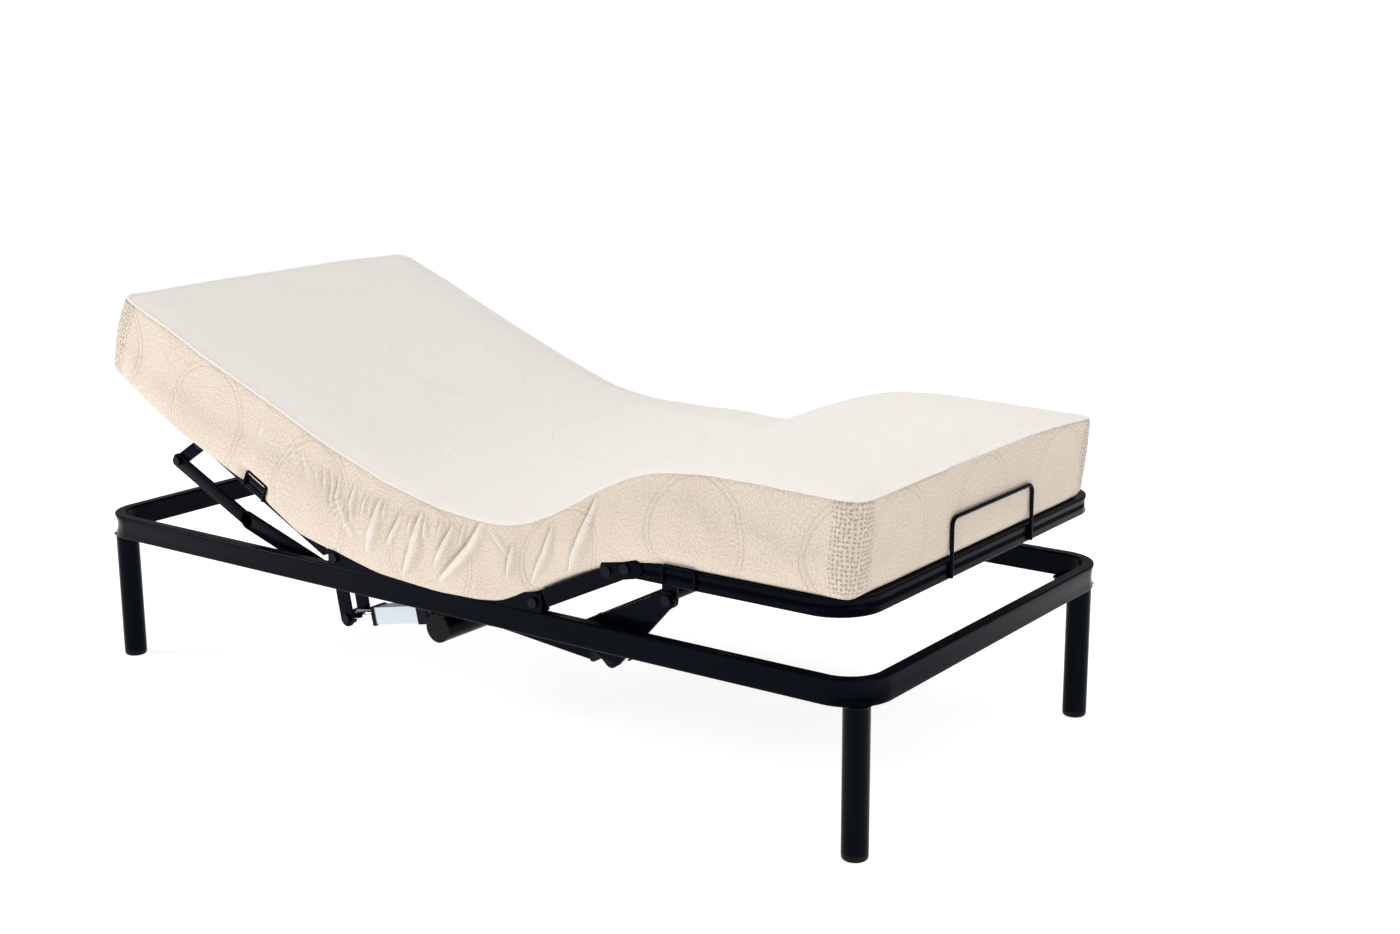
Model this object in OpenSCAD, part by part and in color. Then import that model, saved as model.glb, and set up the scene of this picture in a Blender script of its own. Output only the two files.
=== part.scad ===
// Adjustable bed base, twin XL, with its fitted mattress.
// X runs from the head (-X) to the foot (+X), Z is up, and the origin is on the floor
// under the middle of the lower frame. Everything is drawn in the stored pose: the head
// section and the thigh section stand at head_angle and thigh_angle.

/* [Lower frame] */
// Overall length of the lower frame
bed_l = 2032; // [1900:1:2100]
// Overall width of the lower frame
bed_w = 965; // [900:1:1000]
// Width of every frame tube
tube_w = 25; // [22:1:30]
// Height of the lower frame tube
base_h = 50; // [45:1:55]
// Outer radius of the frame's bent corners
bend_r = 90; // [80:1:110]
// Wall of every frame tube
wall = 2; // [1.5:0.1:3]
// Height of the legs
leg_h = 290; // [280:1:300]
// Diameter of the legs
leg_d = 50; // [44:1:54]
// Distance from the outer faces to a leg's centre
leg_inset = 44; // [40:1:50]

/* [Deck] */
// Height of the deck rails
rail_h = 35; // [30:1:38]
// Gap between the lower frame and the deck rails when flat
deck_gap = 1; // [0.5:0.1:3]
// Where the head section hinges
head_x = -255; // [-265:1:-245]
// Where the thigh section hinges
thigh_x = 280; // [270:1:290]
// Length of the thigh section between its hinges
thigh_l = 250; // [245:1:255]
// Thickness of the deck boards
board_t = 14; // [10:1:14]
// Thickness of the mattress
mattress_t = 165; // [120:1:180]

/* [Pose] */
// Angle of the head section in the stored pose
head_angle = 27; // [20:1:30]
// Angle of the thigh section in the stored pose
thigh_angle = 25; // [20:1:28]

/* [Lifting gear] */
// Diameter of the two torque tubes
torque_d = 32; // [28:1:34]
// Radius of the torque tubes' journals and pivot stubs
journal_r = 10; // [8:0.5:12]
// Radius of the pivot bolts
bolt_r = 6; // [5:0.5:7]
// Radial clearance of a bolt or journal in its hole
fit_gap = 0.05; // [0.02:0.01:0.1]
// Diameter of the cross tube that the actuators push against
cross_d = 60; // [54:1:62]
// Side of the actuators' square outer tube
actuator_w = 37; // [34:1:38]
// Radius of the actuators' rods
rod_r = 13; // [10:0.5:14]

/* [Hidden] */

$fn = 48;
eps = 1;
black = [0.05, 0.06, 0.09];
satin_black = [0.09, 0.09, 0.10];
chrome = [0.80, 0.82, 0.85];
silver = [0.68, 0.71, 0.75];
cream = [0.89, 0.84, 0.78];
board_black = [0.13, 0.13, 0.14];

// Levels and planes of the frame
base_top = leg_h + base_h;
rail_z = base_top + deck_gap + rail_h / 2;
half_l = bed_l / 2;
half_w = bed_w / 2;
rail_y = half_w - tube_w / 2;
inner_y = half_w - tube_w;
plate_t = 5;
slide_gap = 0.5;
sides = [-1, 1];

// A turn that raises a section pointing along -X (head) or +X (thigh)
function raise_head(p, a) = [p[0] * cos(a) + p[1] * sin(a), -p[0] * sin(a) + p[1] * cos(a)];
function raise_foot(p, a) = [p[0] * cos(a) - p[1] * sin(a), p[0] * sin(a) + p[1] * cos(a)];

// Hinges, as [x, z]
head_hinge = [head_x, rail_z];
thigh_hinge = [thigh_x, rail_z];
knee = thigh_hinge + raise_foot([thigh_l, 0], thigh_angle);
head_l = half_l + head_x;
foot_l = half_l - thigh_x - thigh_l;

// Head lift: a lift bar parallel to the head section, and a link that keeps its direction
head_torque = [-332, 310];
link_run = head_hinge - head_torque;
link_local = [-473, -45.2];
link_top = head_hinge + raise_head(link_local, head_angle);
link_low = link_top - link_run;
bar_bend = [-560, 382];
head_pin = [-311, 197];

// Foot lift: a plate parallel to the thigh section, under the foot section
foot_torque = [341, 298];
bracket_run = foot_torque - thigh_hinge;
foot_pivot = knee + bracket_run;
foot_pin = [401, 246];
gusset_tip = [446, 264];

// Actuators, between the crank pins and the lugs on the cross tube
cross_axis = [-10, 242];
head_anchor = [-62, 250];
foot_anchor = [42, 278];
actuator_y = -375;
crank_gap = 45;
arm_y = 440;
arm_t = 6;
crank_t = 5;
cross_end = 440;
torque_end = 446;
bearing_t = 8;
bearing_r = 16;
bolt_head_r = 10;
bolt_head_t = 6;
lug_gap = 51;

// Deck details, in a section's own flat frame
rail_back = 30;
seat_over = 18;
bar_h = 20;
board_z = rail_h / 2 - board_t;
board_y = inner_y - 6.5;
board_in = 60;
mattress_z = rail_h / 2 + 0.5;
mattress_y = half_w - 26.5;
mattress_shift = -24;
wedge_head = 31;
wedge_thigh = 18.5;
wedge_foot = 16;
wire_r = 3;
end_wire_r = 4;

// ---- Places -------------------------------------------------------------------------

module at_head() {
    translate([head_hinge[0], 0, head_hinge[1]]) rotate([0, head_angle, 0]) children();
}

module at_thigh() {
    translate([thigh_hinge[0], 0, thigh_hinge[1]]) rotate([0, -thigh_angle, 0]) children();
}

module at_foot() {
    translate([knee[0], 0, knee[1]]) children();
}

module at_seat() {
    translate([0, 0, rail_z]) children();
}

// A part along an actuator: local +X runs from the crank pin to the anchor, local +Z is up
module along(pin, anchor) {
    run = anchor - pin;
    translate([pin[0], actuator_y, pin[1]]) rotate([0, -atan2(run[1], run[0]), 0])
        mirror([0, 0, run[0] < 0 ? 1 : 0]) children();
}

// ---- Shapes that repeat -------------------------------------------------------------

// A disc or hole along Y, at [x, z], from y0 to y0 + t
module round_y(p, r, y0, t) {
    translate([p[0], y0, p[1]]) rotate([-90, 0, 0]) cylinder(r = r, h = t);
}

// A flat plate in the XZ plane from y0 to y0 + t
module plate_y(y0, t) {
    translate([0, y0 + t, 0]) rotate([90, 0, 0]) linear_extrude(t) children();
}

// Outline of a straight bar with rounded ends, a hair wider than the bar
module bar_2d(p, q, r) {
    run = q - p;
    side = r - 0.25;
    translate(p) circle(r = r);
    translate(q) circle(r = r);
    translate(p) rotate(atan2(run[1], run[0])) translate([0, -side])
        square([norm(run), 2 * side]);
}

// A straight hollow tube along X, from x0 to x1, centred on [y, z]
module tube_x(x0, x1, y, z, w, h) {
    translate([x0, y, z]) difference() {
        translate([0, -w / 2, -h / 2]) cube([x1 - x0, w, h]);
        translate([-eps, wall - w / 2, wall - h / 2])
            cube([x1 - x0 + 2 * eps, w - 2 * wall, h - 2 * wall]);
    }
}

// Cross-section of a hollow frame tube, w wide and h high, from its low corner
module tube_2d(w, h) {
    difference() {
        square([w, h]);
        translate([wall, wall]) square([w - 2 * wall, h - 2 * wall]);
    }
}

// A bow: an end tube with a bend at each end, its outer face at x = 0, pointing along +X
module bow(h) {
    straight = half_w - bend_r;
    translate([-tube_w, straight, -h / 2]) rotate([90, 0, 0])
        linear_extrude(2 * straight) tube_2d(tube_w, h);
    for (s = sides)
        translate([-bend_r, s * straight, 0])
            rotate([0, 0, s > 0 ? 0 : -90])
                rotate_extrude(angle = 90)
                    translate([bend_r - tube_w, -h / 2]) tube_2d(tube_w, h);
}

// Crossbars of a section between its rails, at each x
module crossbars(places, y_end) {
    for (x = places)
        translate([x - tube_w / 2, 0, -rail_h / 2]) difference() {
            translate([0, -y_end, 0]) cube([tube_w, 2 * y_end, bar_h]);
            translate([wall, -y_end - eps, wall])
                cube([tube_w - 2 * wall, 2 * (y_end + eps), bar_h - 2 * wall]);
        }
}

// A deck board from x0 to x1, with the corners cut at one end or at neither
module board(x0, x1, cut0, cut1) {
    translate([0, 0, board_z]) linear_extrude(board_t)
        polygon([[x0 + cut0, -board_y], [x1 - cut1, -board_y], [x1, -board_y + cut1],
            [x1, board_y - cut1], [x1 - cut1, board_y], [x0 + cut0, board_y],
            [x0, board_y - cut0], [x0, -board_y + cut0]]);
}

// A slab of mattress with faces leaned by a0 at its low end and a1 at its high end
module slab(x0, x1, a0, a1, r0, r1) {
    lean0 = mattress_t * tan(a0);
    lean1 = mattress_t * tan(a1);
    translate([0, mattress_shift, 0]) intersection() {
        plate_y(-mattress_y, 2 * mattress_y)
            polygon([[x0, mattress_z], [x1, mattress_z],
                [x1 - lean1, mattress_z + mattress_t], [x0 + lean0, mattress_z + mattress_t]]);
        translate([0, 0, mattress_z - eps]) linear_extrude(mattress_t + 2 * eps)
            rounded_plan(x0, x1, r0, r1);
    }
}

// A plan outline with rounded corners of r0 at its low end and r1 at its high end
module rounded_plan(x0, x1, r0, r1) {
    translate([x0 + r0, -mattress_y]) square([x1 - r1 - x0 - r0, 2 * mattress_y]);
    if (r0 > 0) {
        translate([x0, r0 - mattress_y]) square([r0 + 0.01, 2 * (mattress_y - r0)]);
        for (s = sides) translate([x0 + r0, s * (mattress_y - r0)]) circle(r = r0);
    }
    if (r1 > 0) {
        translate([x1 - r1 - 0.01, r1 - mattress_y]) square([r1 + 0.01, 2 * (mattress_y - r1)]);
        for (s = sides) translate([x1 - r1, s * (mattress_y - r1)]) circle(r = r1);
    }
}

// A bolt along Y through p: shank from y0 to y1, a domed head outside y0 and a nut past y1
module bolt_y(p, y0, y1, r) {
    side = y1 > y0 ? 1 : -1;
    low = min(y0, y1);
    round_y(p, r, low, abs(y1 - y0));
    round_y(p, bolt_head_r, side > 0 ? y0 - bolt_head_t : y0, bolt_head_t);
    translate([p[0], side > 0 ? y1 : y1 - bolt_head_t, p[1]])
        rotate([-90, 0, 0]) cylinder(r = bolt_head_r, h = bolt_head_t, $fn = 6);
}

// A flat wire loop: two legs up from z0 to z1 at x0 and x1, rounded, in the XZ plane at y = 0
module wire_loop(x0, x1, z0, z1, r, bend) {
    for (x = [x0, x1])
        translate([x, 0, z0]) cylinder(r = r, h = z1 - z0 - bend);
    translate([x0 + bend, 0, z1]) rotate([0, 90, 0]) cylinder(r = r, h = x1 - x0 - 2 * bend);
    translate([x0 + bend, 0, z1 - bend]) rotate([90, 0, 0]) rotate([0, 0, 90])
        rotate_extrude(angle = 90) translate([bend, 0]) circle(r = r);
    translate([x1 - bend, 0, z1 - bend]) rotate([90, 0, 0])
        rotate_extrude(angle = 90) translate([bend, 0]) circle(r = r);
}

// ---- Lower frame and legs -----------------------------------------------------------

module base_side_rails() {
    color(black) for (s = sides)
        tube_x(bend_r - half_l, half_l - bend_r, s * rail_y, leg_h + base_h / 2, tube_w, base_h);
}

module base_foot_bow() {
    color(black) translate([half_l, 0, leg_h + base_h / 2]) bow(base_h);
}

module base_head_bow() {
    color(black) translate([-half_l, 0, leg_h + base_h / 2]) mirror([1, 0, 0]) bow(base_h);
}

// A flat plate welded inside each bend, with the leg bolt's hole
gusset_l = 78;
gusset_t = 5;
leg_bolt_r = 5;
leg_x = half_l - leg_inset;
leg_y = half_w - leg_inset;
leg_bolt_in = 12;

module corner_gussets() {
    in_x = half_l - tube_w;
    color(black) for (sx = sides, sy = sides)
        translate([0, 0, leg_h]) scale_xy(sx, sy) difference() {
            linear_extrude(gusset_t) difference() {
                polygon([[in_x - gusset_l, inner_y], [in_x - gusset_l, inner_y - 22],
                    [in_x - 22, inner_y - gusset_l], [in_x, inner_y - gusset_l], [in_x, inner_y]]);
                corner_waste_2d(in_x);
            }
            translate([leg_x - leg_bolt_in, leg_y - leg_bolt_in, -eps])
                cylinder(r = leg_bolt_r + fit_gap, h = gusset_t + 2 * eps);
        }
}

// What lies outside the inner radius of a bend, in plan
module corner_waste_2d(in_x) {
    r = bend_r - tube_w;
    difference() {
        translate([in_x - r, inner_y - r]) square([r + eps, r + eps]);
        translate([in_x - r, inner_y - r]) circle(r = r);
    }
}

// Mirrors its children into one of the four quarters
module scale_xy(sx, sy) {
    mirror([sx < 0 ? 1 : 0, 0, 0]) mirror([0, sy < 0 ? 1 : 0, 0]) children();
}

glide_h = 14;
glide_round = 5;
leg_wall = 2;
leg_cap_t = 4;

module legs() {
    color(black) for (sx = sides, sy = sides) translate([sx * leg_x, sy * leg_y, 0])
        difference() {
            translate([0, 0, glide_h]) cylinder(d = leg_d, h = leg_h - glide_h);
            translate([0, 0, glide_h - eps])
                cylinder(d = leg_d - 2 * leg_wall, h = leg_h - glide_h - leg_cap_t + eps);
            translate([-sx * leg_bolt_in, -sy * leg_bolt_in, glide_h])
                cylinder(r = leg_bolt_r + fit_gap, h = leg_h);
        }
}

module leg_glides() {
    r = leg_d / 2;
    plug_h = 20;
    color(satin_black) for (sx = sides, sy = sides) translate([sx * leg_x, sy * leg_y, 0]) {
        rotate_extrude() polygon(concat([[0, 0], [r - glide_round, 0]],
            [for (a = [15:15:90]) [r - glide_round + glide_round * sin(a),
                glide_round - glide_round * cos(a)]],
            [[r, glide_h], [r - leg_wall - 0.2, glide_h],
                [r - leg_wall - 0.2, glide_h + plug_h], [0, glide_h + plug_h]]));
    }
}

module leg_bolts() {
    shank = 40;
    color(satin_black) for (sx = sides, sy = sides)
        translate([sx * (leg_x - leg_bolt_in), sy * (leg_y - leg_bolt_in), leg_h + gusset_t]) {
            translate([0, 0, -shank]) cylinder(r = leg_bolt_r, h = shank);
            cylinder(r = 9, h = bolt_head_t, $fn = 6);
        }
}

// ---- Seat section, fixed to the lower frame -----------------------------------------

seat_x0 = head_x - seat_over;
seat_x1 = thigh_x + seat_over;
seat_bars = [head_x + 60, thigh_x - 60];

// Two rails, each with two bolted-down tabs that hold it on the lower frame
module seat_rails() {
    tab_l = 60;
    tab_in = 110;
    color(black) for (s = sides) difference() {
        union() {
            at_seat() tube_x(seat_x0, seat_x1, s * rail_y, 0, tube_w, rail_h);
            for (x = [head_x + tab_in, thigh_x - tab_in])
                translate([x - tab_l / 2, s > 0 ? inner_y - plate_t : -inner_y, leg_h + 8])
                    cube([tab_l, plate_t, rail_z + 10 - leg_h - 8]);
        }
        for (h = [head_hinge, thigh_hinge])
            round_y(h, bolt_r + fit_gap, s > 0 ? inner_y - eps : -half_w - eps, tube_w + 2 * eps);
    }
}

module seat_crossbars() {
    color(black) at_seat() crossbars(seat_bars, inner_y);
}

module seat_deck_board() {
    color(board_black) at_seat() board(head_x + 24, thigh_x - 24, 0, 0);
}

module mattress_seat() {
    color(cream) at_seat()
        slab(head_x + wedge_foot, thigh_x - wedge_foot, wedge_head, wedge_thigh, 0, 0);
}

// Pivot bolts of the head and thigh sections, held by the seat rails
module hinge_bolts() {
    reach = tube_w + slide_gap + plate_t + slide_gap;
    color(satin_black) for (s = sides, h = [head_hinge, thigh_hinge])
        bolt_y(h, s * half_w, s * (half_w - reach), bolt_r);
}

// ---- Cross tube, its hangers and the actuator lugs ----------------------------------

module cross_tube() {
    tube_wall = 2.5;
    color(black) difference() {
        round_y(cross_axis, cross_d / 2, -cross_end, 2 * cross_end);
        round_y(cross_axis, cross_d / 2 - tube_wall, -cross_end - eps, 2 * (cross_end + eps));
    }
}

module cross_tube_caps() {
    cap_t = 4;
    plug_l = 15;
    color(satin_black) for (s = sides) {
        round_y(cross_axis, cross_d / 2, s > 0 ? cross_end : -cross_end - cap_t, cap_t);
        round_y(cross_axis, cross_d / 2 - 2.7, s > 0 ? cross_end - plug_l : -cross_end, plug_l);
    }
}

// Two upright plates a side, welded to the side rail and over the tube
module cross_tube_hangers() {
    hang_t = 4;
    color(black) difference() {
        for (s = sides, dx = [-18, 14])
            translate([cross_axis[0] + dx, 0, 0]) rotate([90, 0, 90]) linear_extrude(hang_t)
                scale([s, 1]) polygon([[inner_y, base_top - 6], [inner_y, leg_h + 1],
                    [cross_end - 8, cross_axis[1] + 6], [cross_end - 30, cross_axis[1] + 6],
                    [cross_end - 30, cross_axis[1] + 44]]);
        round_y(cross_axis, cross_d / 2, -cross_end - 20, 2 * (cross_end + 20));
    }
}

// Lugs for both actuators, with the heads and nuts of the anchor bolts on their outer faces
module actuator_anchors() {
    lug_t = 5;
    lug_r = 19;
    color(black) for (s = sides) {
        y0 = actuator_y + (s > 0 ? lug_gap / 2 : -lug_gap / 2 - lug_t);
        difference() {
            plate_y(y0, lug_t) bar_2d(head_anchor, foot_anchor, lug_r);
            round_y(cross_axis, cross_d / 2, y0 - eps, lug_t + 2 * eps);
        }
        for (p = [head_anchor, foot_anchor])
            round_y(p, bolt_head_r, s > 0 ? y0 + lug_t : y0 - bolt_head_t, bolt_head_t);
    }
}

// Bearings for the torque tubes, welded inside the side rails
module lift_bearings() {
    color(satin_black) for (s = sides, p = [head_torque, foot_torque])
        difference() {
            round_y(p, bearing_r, s > 0 ? inner_y - bearing_t : -inner_y, bearing_t);
            round_y(p, journal_r + fit_gap, s > 0 ? inner_y - bearing_t - eps : -inner_y - eps,
                bearing_t + 2 * eps);
        }
}

// Control box under the seat board, hung from a crossbar, with its socket face to the head
module control_box() {
    box = [170, 120, 34];
    y0 = 150;
    z1 = base_top + deck_gap;
    color(satin_black) difference() {
        translate([thigh_x - 60 - box[0] + 12, y0, z1 - box[2]]) cube(box);
        for (i = [0:3])
            translate([thigh_x - 60 - box[0] + 11, y0 + 14 + 26 * i, z1 - 24]) cube([9, 14, 12]);
    }
}

// ---- Head section -------------------------------------------------------------------

// Two rails with the hinge plates that reach back to the seat rails
module head_rails() {
    plate_r = rail_h / 2 - 2;
    color(black) at_head() for (s = sides) difference() {
        union() {
            tube_x(bend_r - head_l, -rail_back, s * rail_y, 0, tube_w, rail_h);
            plate_y(s > 0 ? inner_y - slide_gap - plate_t : slide_gap - inner_y, plate_t)
                bar_2d([-110, 0], [0, 0], plate_r);
            plate_y(s > 0 ? inner_y - slide_gap : -inner_y, slide_gap)
                bar_2d([-110, 0], [-rail_back - plate_r - 4, 0], plate_r);
        }
        round_y([0, 0], bolt_r + fit_gap, s > 0 ? inner_y - 10 : -inner_y - eps, 11);
    }
}

module head_end_bow() {
    color(black) at_head() translate([-head_l, 0, 0]) mirror([1, 0, 0]) bow(rail_h);
}

head_bars = [-140, -310, link_local[0], -640];

module head_crossbars() {
    color(black) at_head() crossbars(head_bars, inner_y);
}

module head_deck_board() {
    color(board_black) at_head()
        board(tube_w + slide_gap - head_l, -rail_back - 14, board_in, 0);
}

module mattress_head() {
    mattress_over = 16;
    color(cream) at_head() slab(mattress_over - head_l, -wedge_foot, 0, wedge_head, 45, 0);
}

// Plates under a crossbar that carry the swinging links
module head_link_brackets() {
    r = 14;
    color(black) at_head() for (s = sides) difference() {
        plate_y(s * arm_y - arm_t / 2, arm_t) {
            difference() {
                bar_2d(link_local, [link_local[0], -rail_h / 2], r);
                translate([link_local[0] - 2 * r, -rail_h / 2]) square([4 * r, 2 * r]);
            }
        }
        round_y(link_local, bolt_r + fit_gap, s * arm_y - arm_t, 2 * arm_t);
    }
}

// Bolts at the links' upper pivots
module head_link_bolts() {
    color(satin_black) for (s = sides)
        bolt_y(link_top, s * (arm_y + arm_t / 2),
            s * (arm_y - arm_t / 2 - slide_gap - arm_t - slide_gap), bolt_r);
}

// Wire loops on both sides that hold the mattress in place
module head_side_retainers() {
    color(satin_black) at_head() for (s = sides)
        translate([0, s * (half_w + wire_r), 0])
            wire_loop(-286, -224, -14, 24, wire_r, 8);
}

// Swinging links between the lift bars and the head section
module head_links() {
    r = 14;
    color(black) for (s = sides) {
        y0 = s * (arm_y - arm_t / 2 - slide_gap - arm_t / 2) - arm_t / 2;
        difference() {
            plate_y(y0, arm_t) bar_2d(link_low, link_top, r);
            for (p = [link_low, link_top]) round_y(p, bolt_r + fit_gap, y0 - eps, arm_t + 2 * eps);
        }
    }
}

// ---- Head lift ----------------------------------------------------------------------

module torque_tube(p) {
    bore_r = torque_d / 2 - 3;
    difference() {
        union() {
            round_y(p, torque_d / 2, -torque_end, 2 * torque_end);
            for (s = sides)
                round_y(p, journal_r, s > 0 ? torque_end - eps : -torque_end - journal_l(),
                    journal_l() + eps);
        }
        round_y(p, bore_r, -torque_end + 20, 2 * (torque_end - 20));
    }
}

// Length of a journal, so that it stops just short of the side rail
function journal_l() = inner_y - torque_end - slide_gap;

module head_torque_tube() {
    color(black) torque_tube(head_torque);
}

// Flat lift bars, bent a little above the middle
module head_lift_bars() {
    r = 16;
    color(black) for (s = sides) difference() {
        plate_y(s * arm_y - arm_t / 2, arm_t) {
            bar_2d(head_torque, bar_bend, r + 4);
            bar_2d(bar_bend, link_low, r);
        }
        round_y(head_torque, torque_d / 2, s * arm_y - arm_t, 2 * arm_t);
        round_y(link_low, bolt_r + fit_gap, s * arm_y - arm_t, 2 * arm_t);
    }
}

module crank_plates(axis, pin, r) {
    for (s = sides) {
        y0 = actuator_y + (s > 0 ? crank_gap / 2 : -crank_gap / 2 - crank_t);
        difference() {
            plate_y(y0, crank_t) bar_2d(axis, pin, r);
            round_y(axis, torque_d / 2, y0 - eps, crank_t + 2 * eps);
            round_y(pin, bolt_r + fit_gap, y0 - eps, crank_t + 2 * eps);
        }
    }
}

module head_crank_plates() {
    color(black) crank_plates(head_torque, head_pin, 18);
}

module head_lift_bolts() {
    color(satin_black) for (s = sides)
        bolt_y(link_low, s * (arm_y + arm_t / 2),
            s * (arm_y - arm_t / 2 - slide_gap - arm_t - slide_gap), bolt_r);
}

module crank_pin(p) {
    reach = crank_gap / 2 + crank_t;
    bolt_y(p, actuator_y - reach, actuator_y + reach, bolt_r);
}

module head_crank_pin() {
    color(satin_black) crank_pin(head_pin);
}

// ---- Actuators ----------------------------------------------------------------------

eye_r = 15;
eye_t = 24;
collar_t = 9;
collar_over = 2;
box_w = 44;
motor_r = 23;
motor_l = 112;
motor_up = 34;
rear_gap = 15;
box_l = 36;

module actuator_rod(pin, anchor, l) {
    color(chrome) along(pin, anchor) difference() {
        union() {
            round_y([0, 0], eye_r, -eye_t / 2, eye_t);
            rotate([0, 90, 0]) cylinder(r = rod_r, h = l);
        }
        round_y([0, 0], bolt_r + fit_gap, -eye_t, 2 * eye_t);
    }
}

module actuator_collar(pin, anchor, start) {
    w = actuator_w + 2 * collar_over;
    color(satin_black) along(pin, anchor) difference() {
        translate([start, -w / 2, -w / 2]) cube([collar_t, w, w]);
        translate([start - eps, 0, 0]) rotate([0, 90, 0])
            cylinder(r = rod_r + fit_gap, h = collar_t + 2 * eps);
    }
}

module actuator_tube(pin, anchor, start) {
    tube_wall = 2.5;
    l = norm(anchor - pin) - rear_gap - box_l - start - collar_t;
    color(silver) along(pin, anchor) translate([start + collar_t, 0, 0]) difference() {
        translate([0, -actuator_w / 2, -actuator_w / 2]) cube([l, actuator_w, actuator_w]);
        translate([-eps, tube_wall - actuator_w / 2, tube_wall - actuator_w / 2])
            cube([l + 2 * eps, actuator_w - 2 * tube_wall, actuator_w - 2 * tube_wall]);
    }
}

// Gear housing with the rear eye and its pin
module actuator_gearbox(pin, anchor) {
    far = norm(anchor - pin);
    top = motor_up + motor_r;
    pin_l = lug_gap - 2 * slide_gap;
    color(satin_black) along(pin, anchor) {
        translate([far - rear_gap - box_l, -box_w / 2, -actuator_w / 2 - 2])
            cube([box_l, box_w, actuator_w / 2 + 2 + top]);
        translate([far - rear_gap - eps, -12, -11]) cube([rear_gap + eps, 24, 22]);
        round_y([far, 0], 11, -12, 24);
        round_y([far, 0], bolt_r, -pin_l / 2, pin_l);
    }
}

// Motor can, square to the actuator, with a smaller end cap
module actuator_motor(pin, anchor) {
    mid = norm(anchor - pin) - rear_gap - box_l / 2;
    cap_l = 8;
    color(satin_black) along(pin, anchor) {
        round_y([mid, motor_up], motor_r - 3, box_w / 2, motor_l);
        round_y([mid, motor_up], motor_r - 6, box_w / 2 + motor_l, cap_l);
    }
}

head_collar_x = 68;
head_rod_l = 150;
foot_collar_x = 46;
foot_rod_l = 240;

module head_actuator_rod() { actuator_rod(head_pin, head_anchor, head_rod_l); }
module head_actuator_tube() { actuator_tube(head_pin, head_anchor, head_collar_x); }
module head_actuator_collar() { actuator_collar(head_pin, head_anchor, head_collar_x); }
module head_actuator_gearbox() { actuator_gearbox(head_pin, head_anchor); }
module head_actuator_motor() { actuator_motor(head_pin, head_anchor); }
module foot_actuator_rod() { actuator_rod(foot_pin, foot_anchor, foot_rod_l); }
module foot_actuator_tube() { actuator_tube(foot_pin, foot_anchor, foot_collar_x); }
module foot_actuator_collar() { actuator_collar(foot_pin, foot_anchor, foot_collar_x); }
module foot_actuator_gearbox() { actuator_gearbox(foot_pin, foot_anchor); }
module foot_actuator_motor() { actuator_motor(foot_pin, foot_anchor); }

// ---- Thigh section ------------------------------------------------------------------

module thigh_rails() {
    plate_r = rail_h / 2 - 2;
    plate_l = 100;
    color(black) at_thigh() for (s = sides) difference() {
        union() {
            tube_x(rail_back, thigh_l - rail_back, s * rail_y, 0, tube_w, rail_h);
            plate_y(s > 0 ? inner_y - slide_gap - plate_t : slide_gap - inner_y, plate_t)
                bar_2d([0, 0], [plate_l, 0], plate_r);
            plate_y(s > 0 ? inner_y - slide_gap : -inner_y, slide_gap)
                bar_2d([rail_back + plate_r + 4, 0], [plate_l, 0], plate_r);
        }
        round_y([0, 0], bolt_r + fit_gap, s > 0 ? inner_y - 10 : -inner_y - eps, 11);
    }
}

module thigh_crossbar() {
    color(black) at_thigh() crossbars([150], inner_y);
}

module thigh_deck_board() {
    color(board_black) at_thigh() board(rail_back + 8, thigh_l - 14, 0, 0);
}

module mattress_thigh() {
    color(cream) at_thigh() slab(wedge_foot, thigh_l - 14, wedge_thigh, 0, 0, 0);
}

knee_t = 4;
knee_lean = -12.5;

// Rounded plates outside the rails that carry the knee pivots
module knee_plates() {
    r = 20;
    color(black) at_thigh() translate([thigh_l, 0, 0]) rotate([0, -knee_lean, 0])
        for (s = sides) {
            y0 = s > 0 ? half_w : -half_w - slide_gap - knee_t;
            difference() {
                union() {
                    plate_y(s > 0 ? y0 + slide_gap : y0, knee_t) bar_2d([-42, 0], [16, 0], r);
                    intersection() {
                        plate_y(s > 0 ? y0 : y0 + knee_t, slide_gap) bar_2d([-42, 0], [16, 0], r - 6);
                        translate([-90, -half_w - 10, -40]) cube([54, 2 * half_w + 20, 80]);
                    }
                }
                round_y([0, 0], bolt_r + fit_gap, y0 - eps, knee_t + 2);
            }
        }
}

// Knee pivot bolts, with the bolts that fix the plates to the thigh rails
module knee_bolts() {
    outer = half_w + slide_gap + knee_t;
    color(satin_black) {
        for (s = sides) {
            bolt_y(knee, s * outer, s * (inner_y - slide_gap), bolt_r);
            fix = thigh_hinge + raise_foot([thigh_l - 44, 8], thigh_angle);
            round_y(fix, bolt_head_r - 1, s > 0 ? outer : -outer - 4, 4);
        }
    }
}

// ---- Foot section -------------------------------------------------------------------

foot_bars = [bracket_run[0], 240, 380];

module foot_rails() {
    color(black) at_foot() for (s = sides) difference() {
        tube_x(-12, foot_l - bend_r, s * rail_y, 0, tube_w, rail_h);
        round_y([0, 0], bolt_r + fit_gap, s > 0 ? inner_y - eps : -half_w - eps, tube_w + 2 * eps);
    }
}

module foot_end_bow() {
    color(black) at_foot() translate([foot_l, 0, 0]) bow(rail_h);
}

module foot_crossbars() {
    color(black) at_foot() crossbars(foot_bars, inner_y);
}

module foot_deck_board() {
    color(board_black) at_foot() board(14, foot_l - tube_w - slide_gap, 0, board_in);
}

module mattress_foot() {
    color(cream) at_foot() slab(4, foot_l - 2, 0, 0, 0, 45);
}

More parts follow.
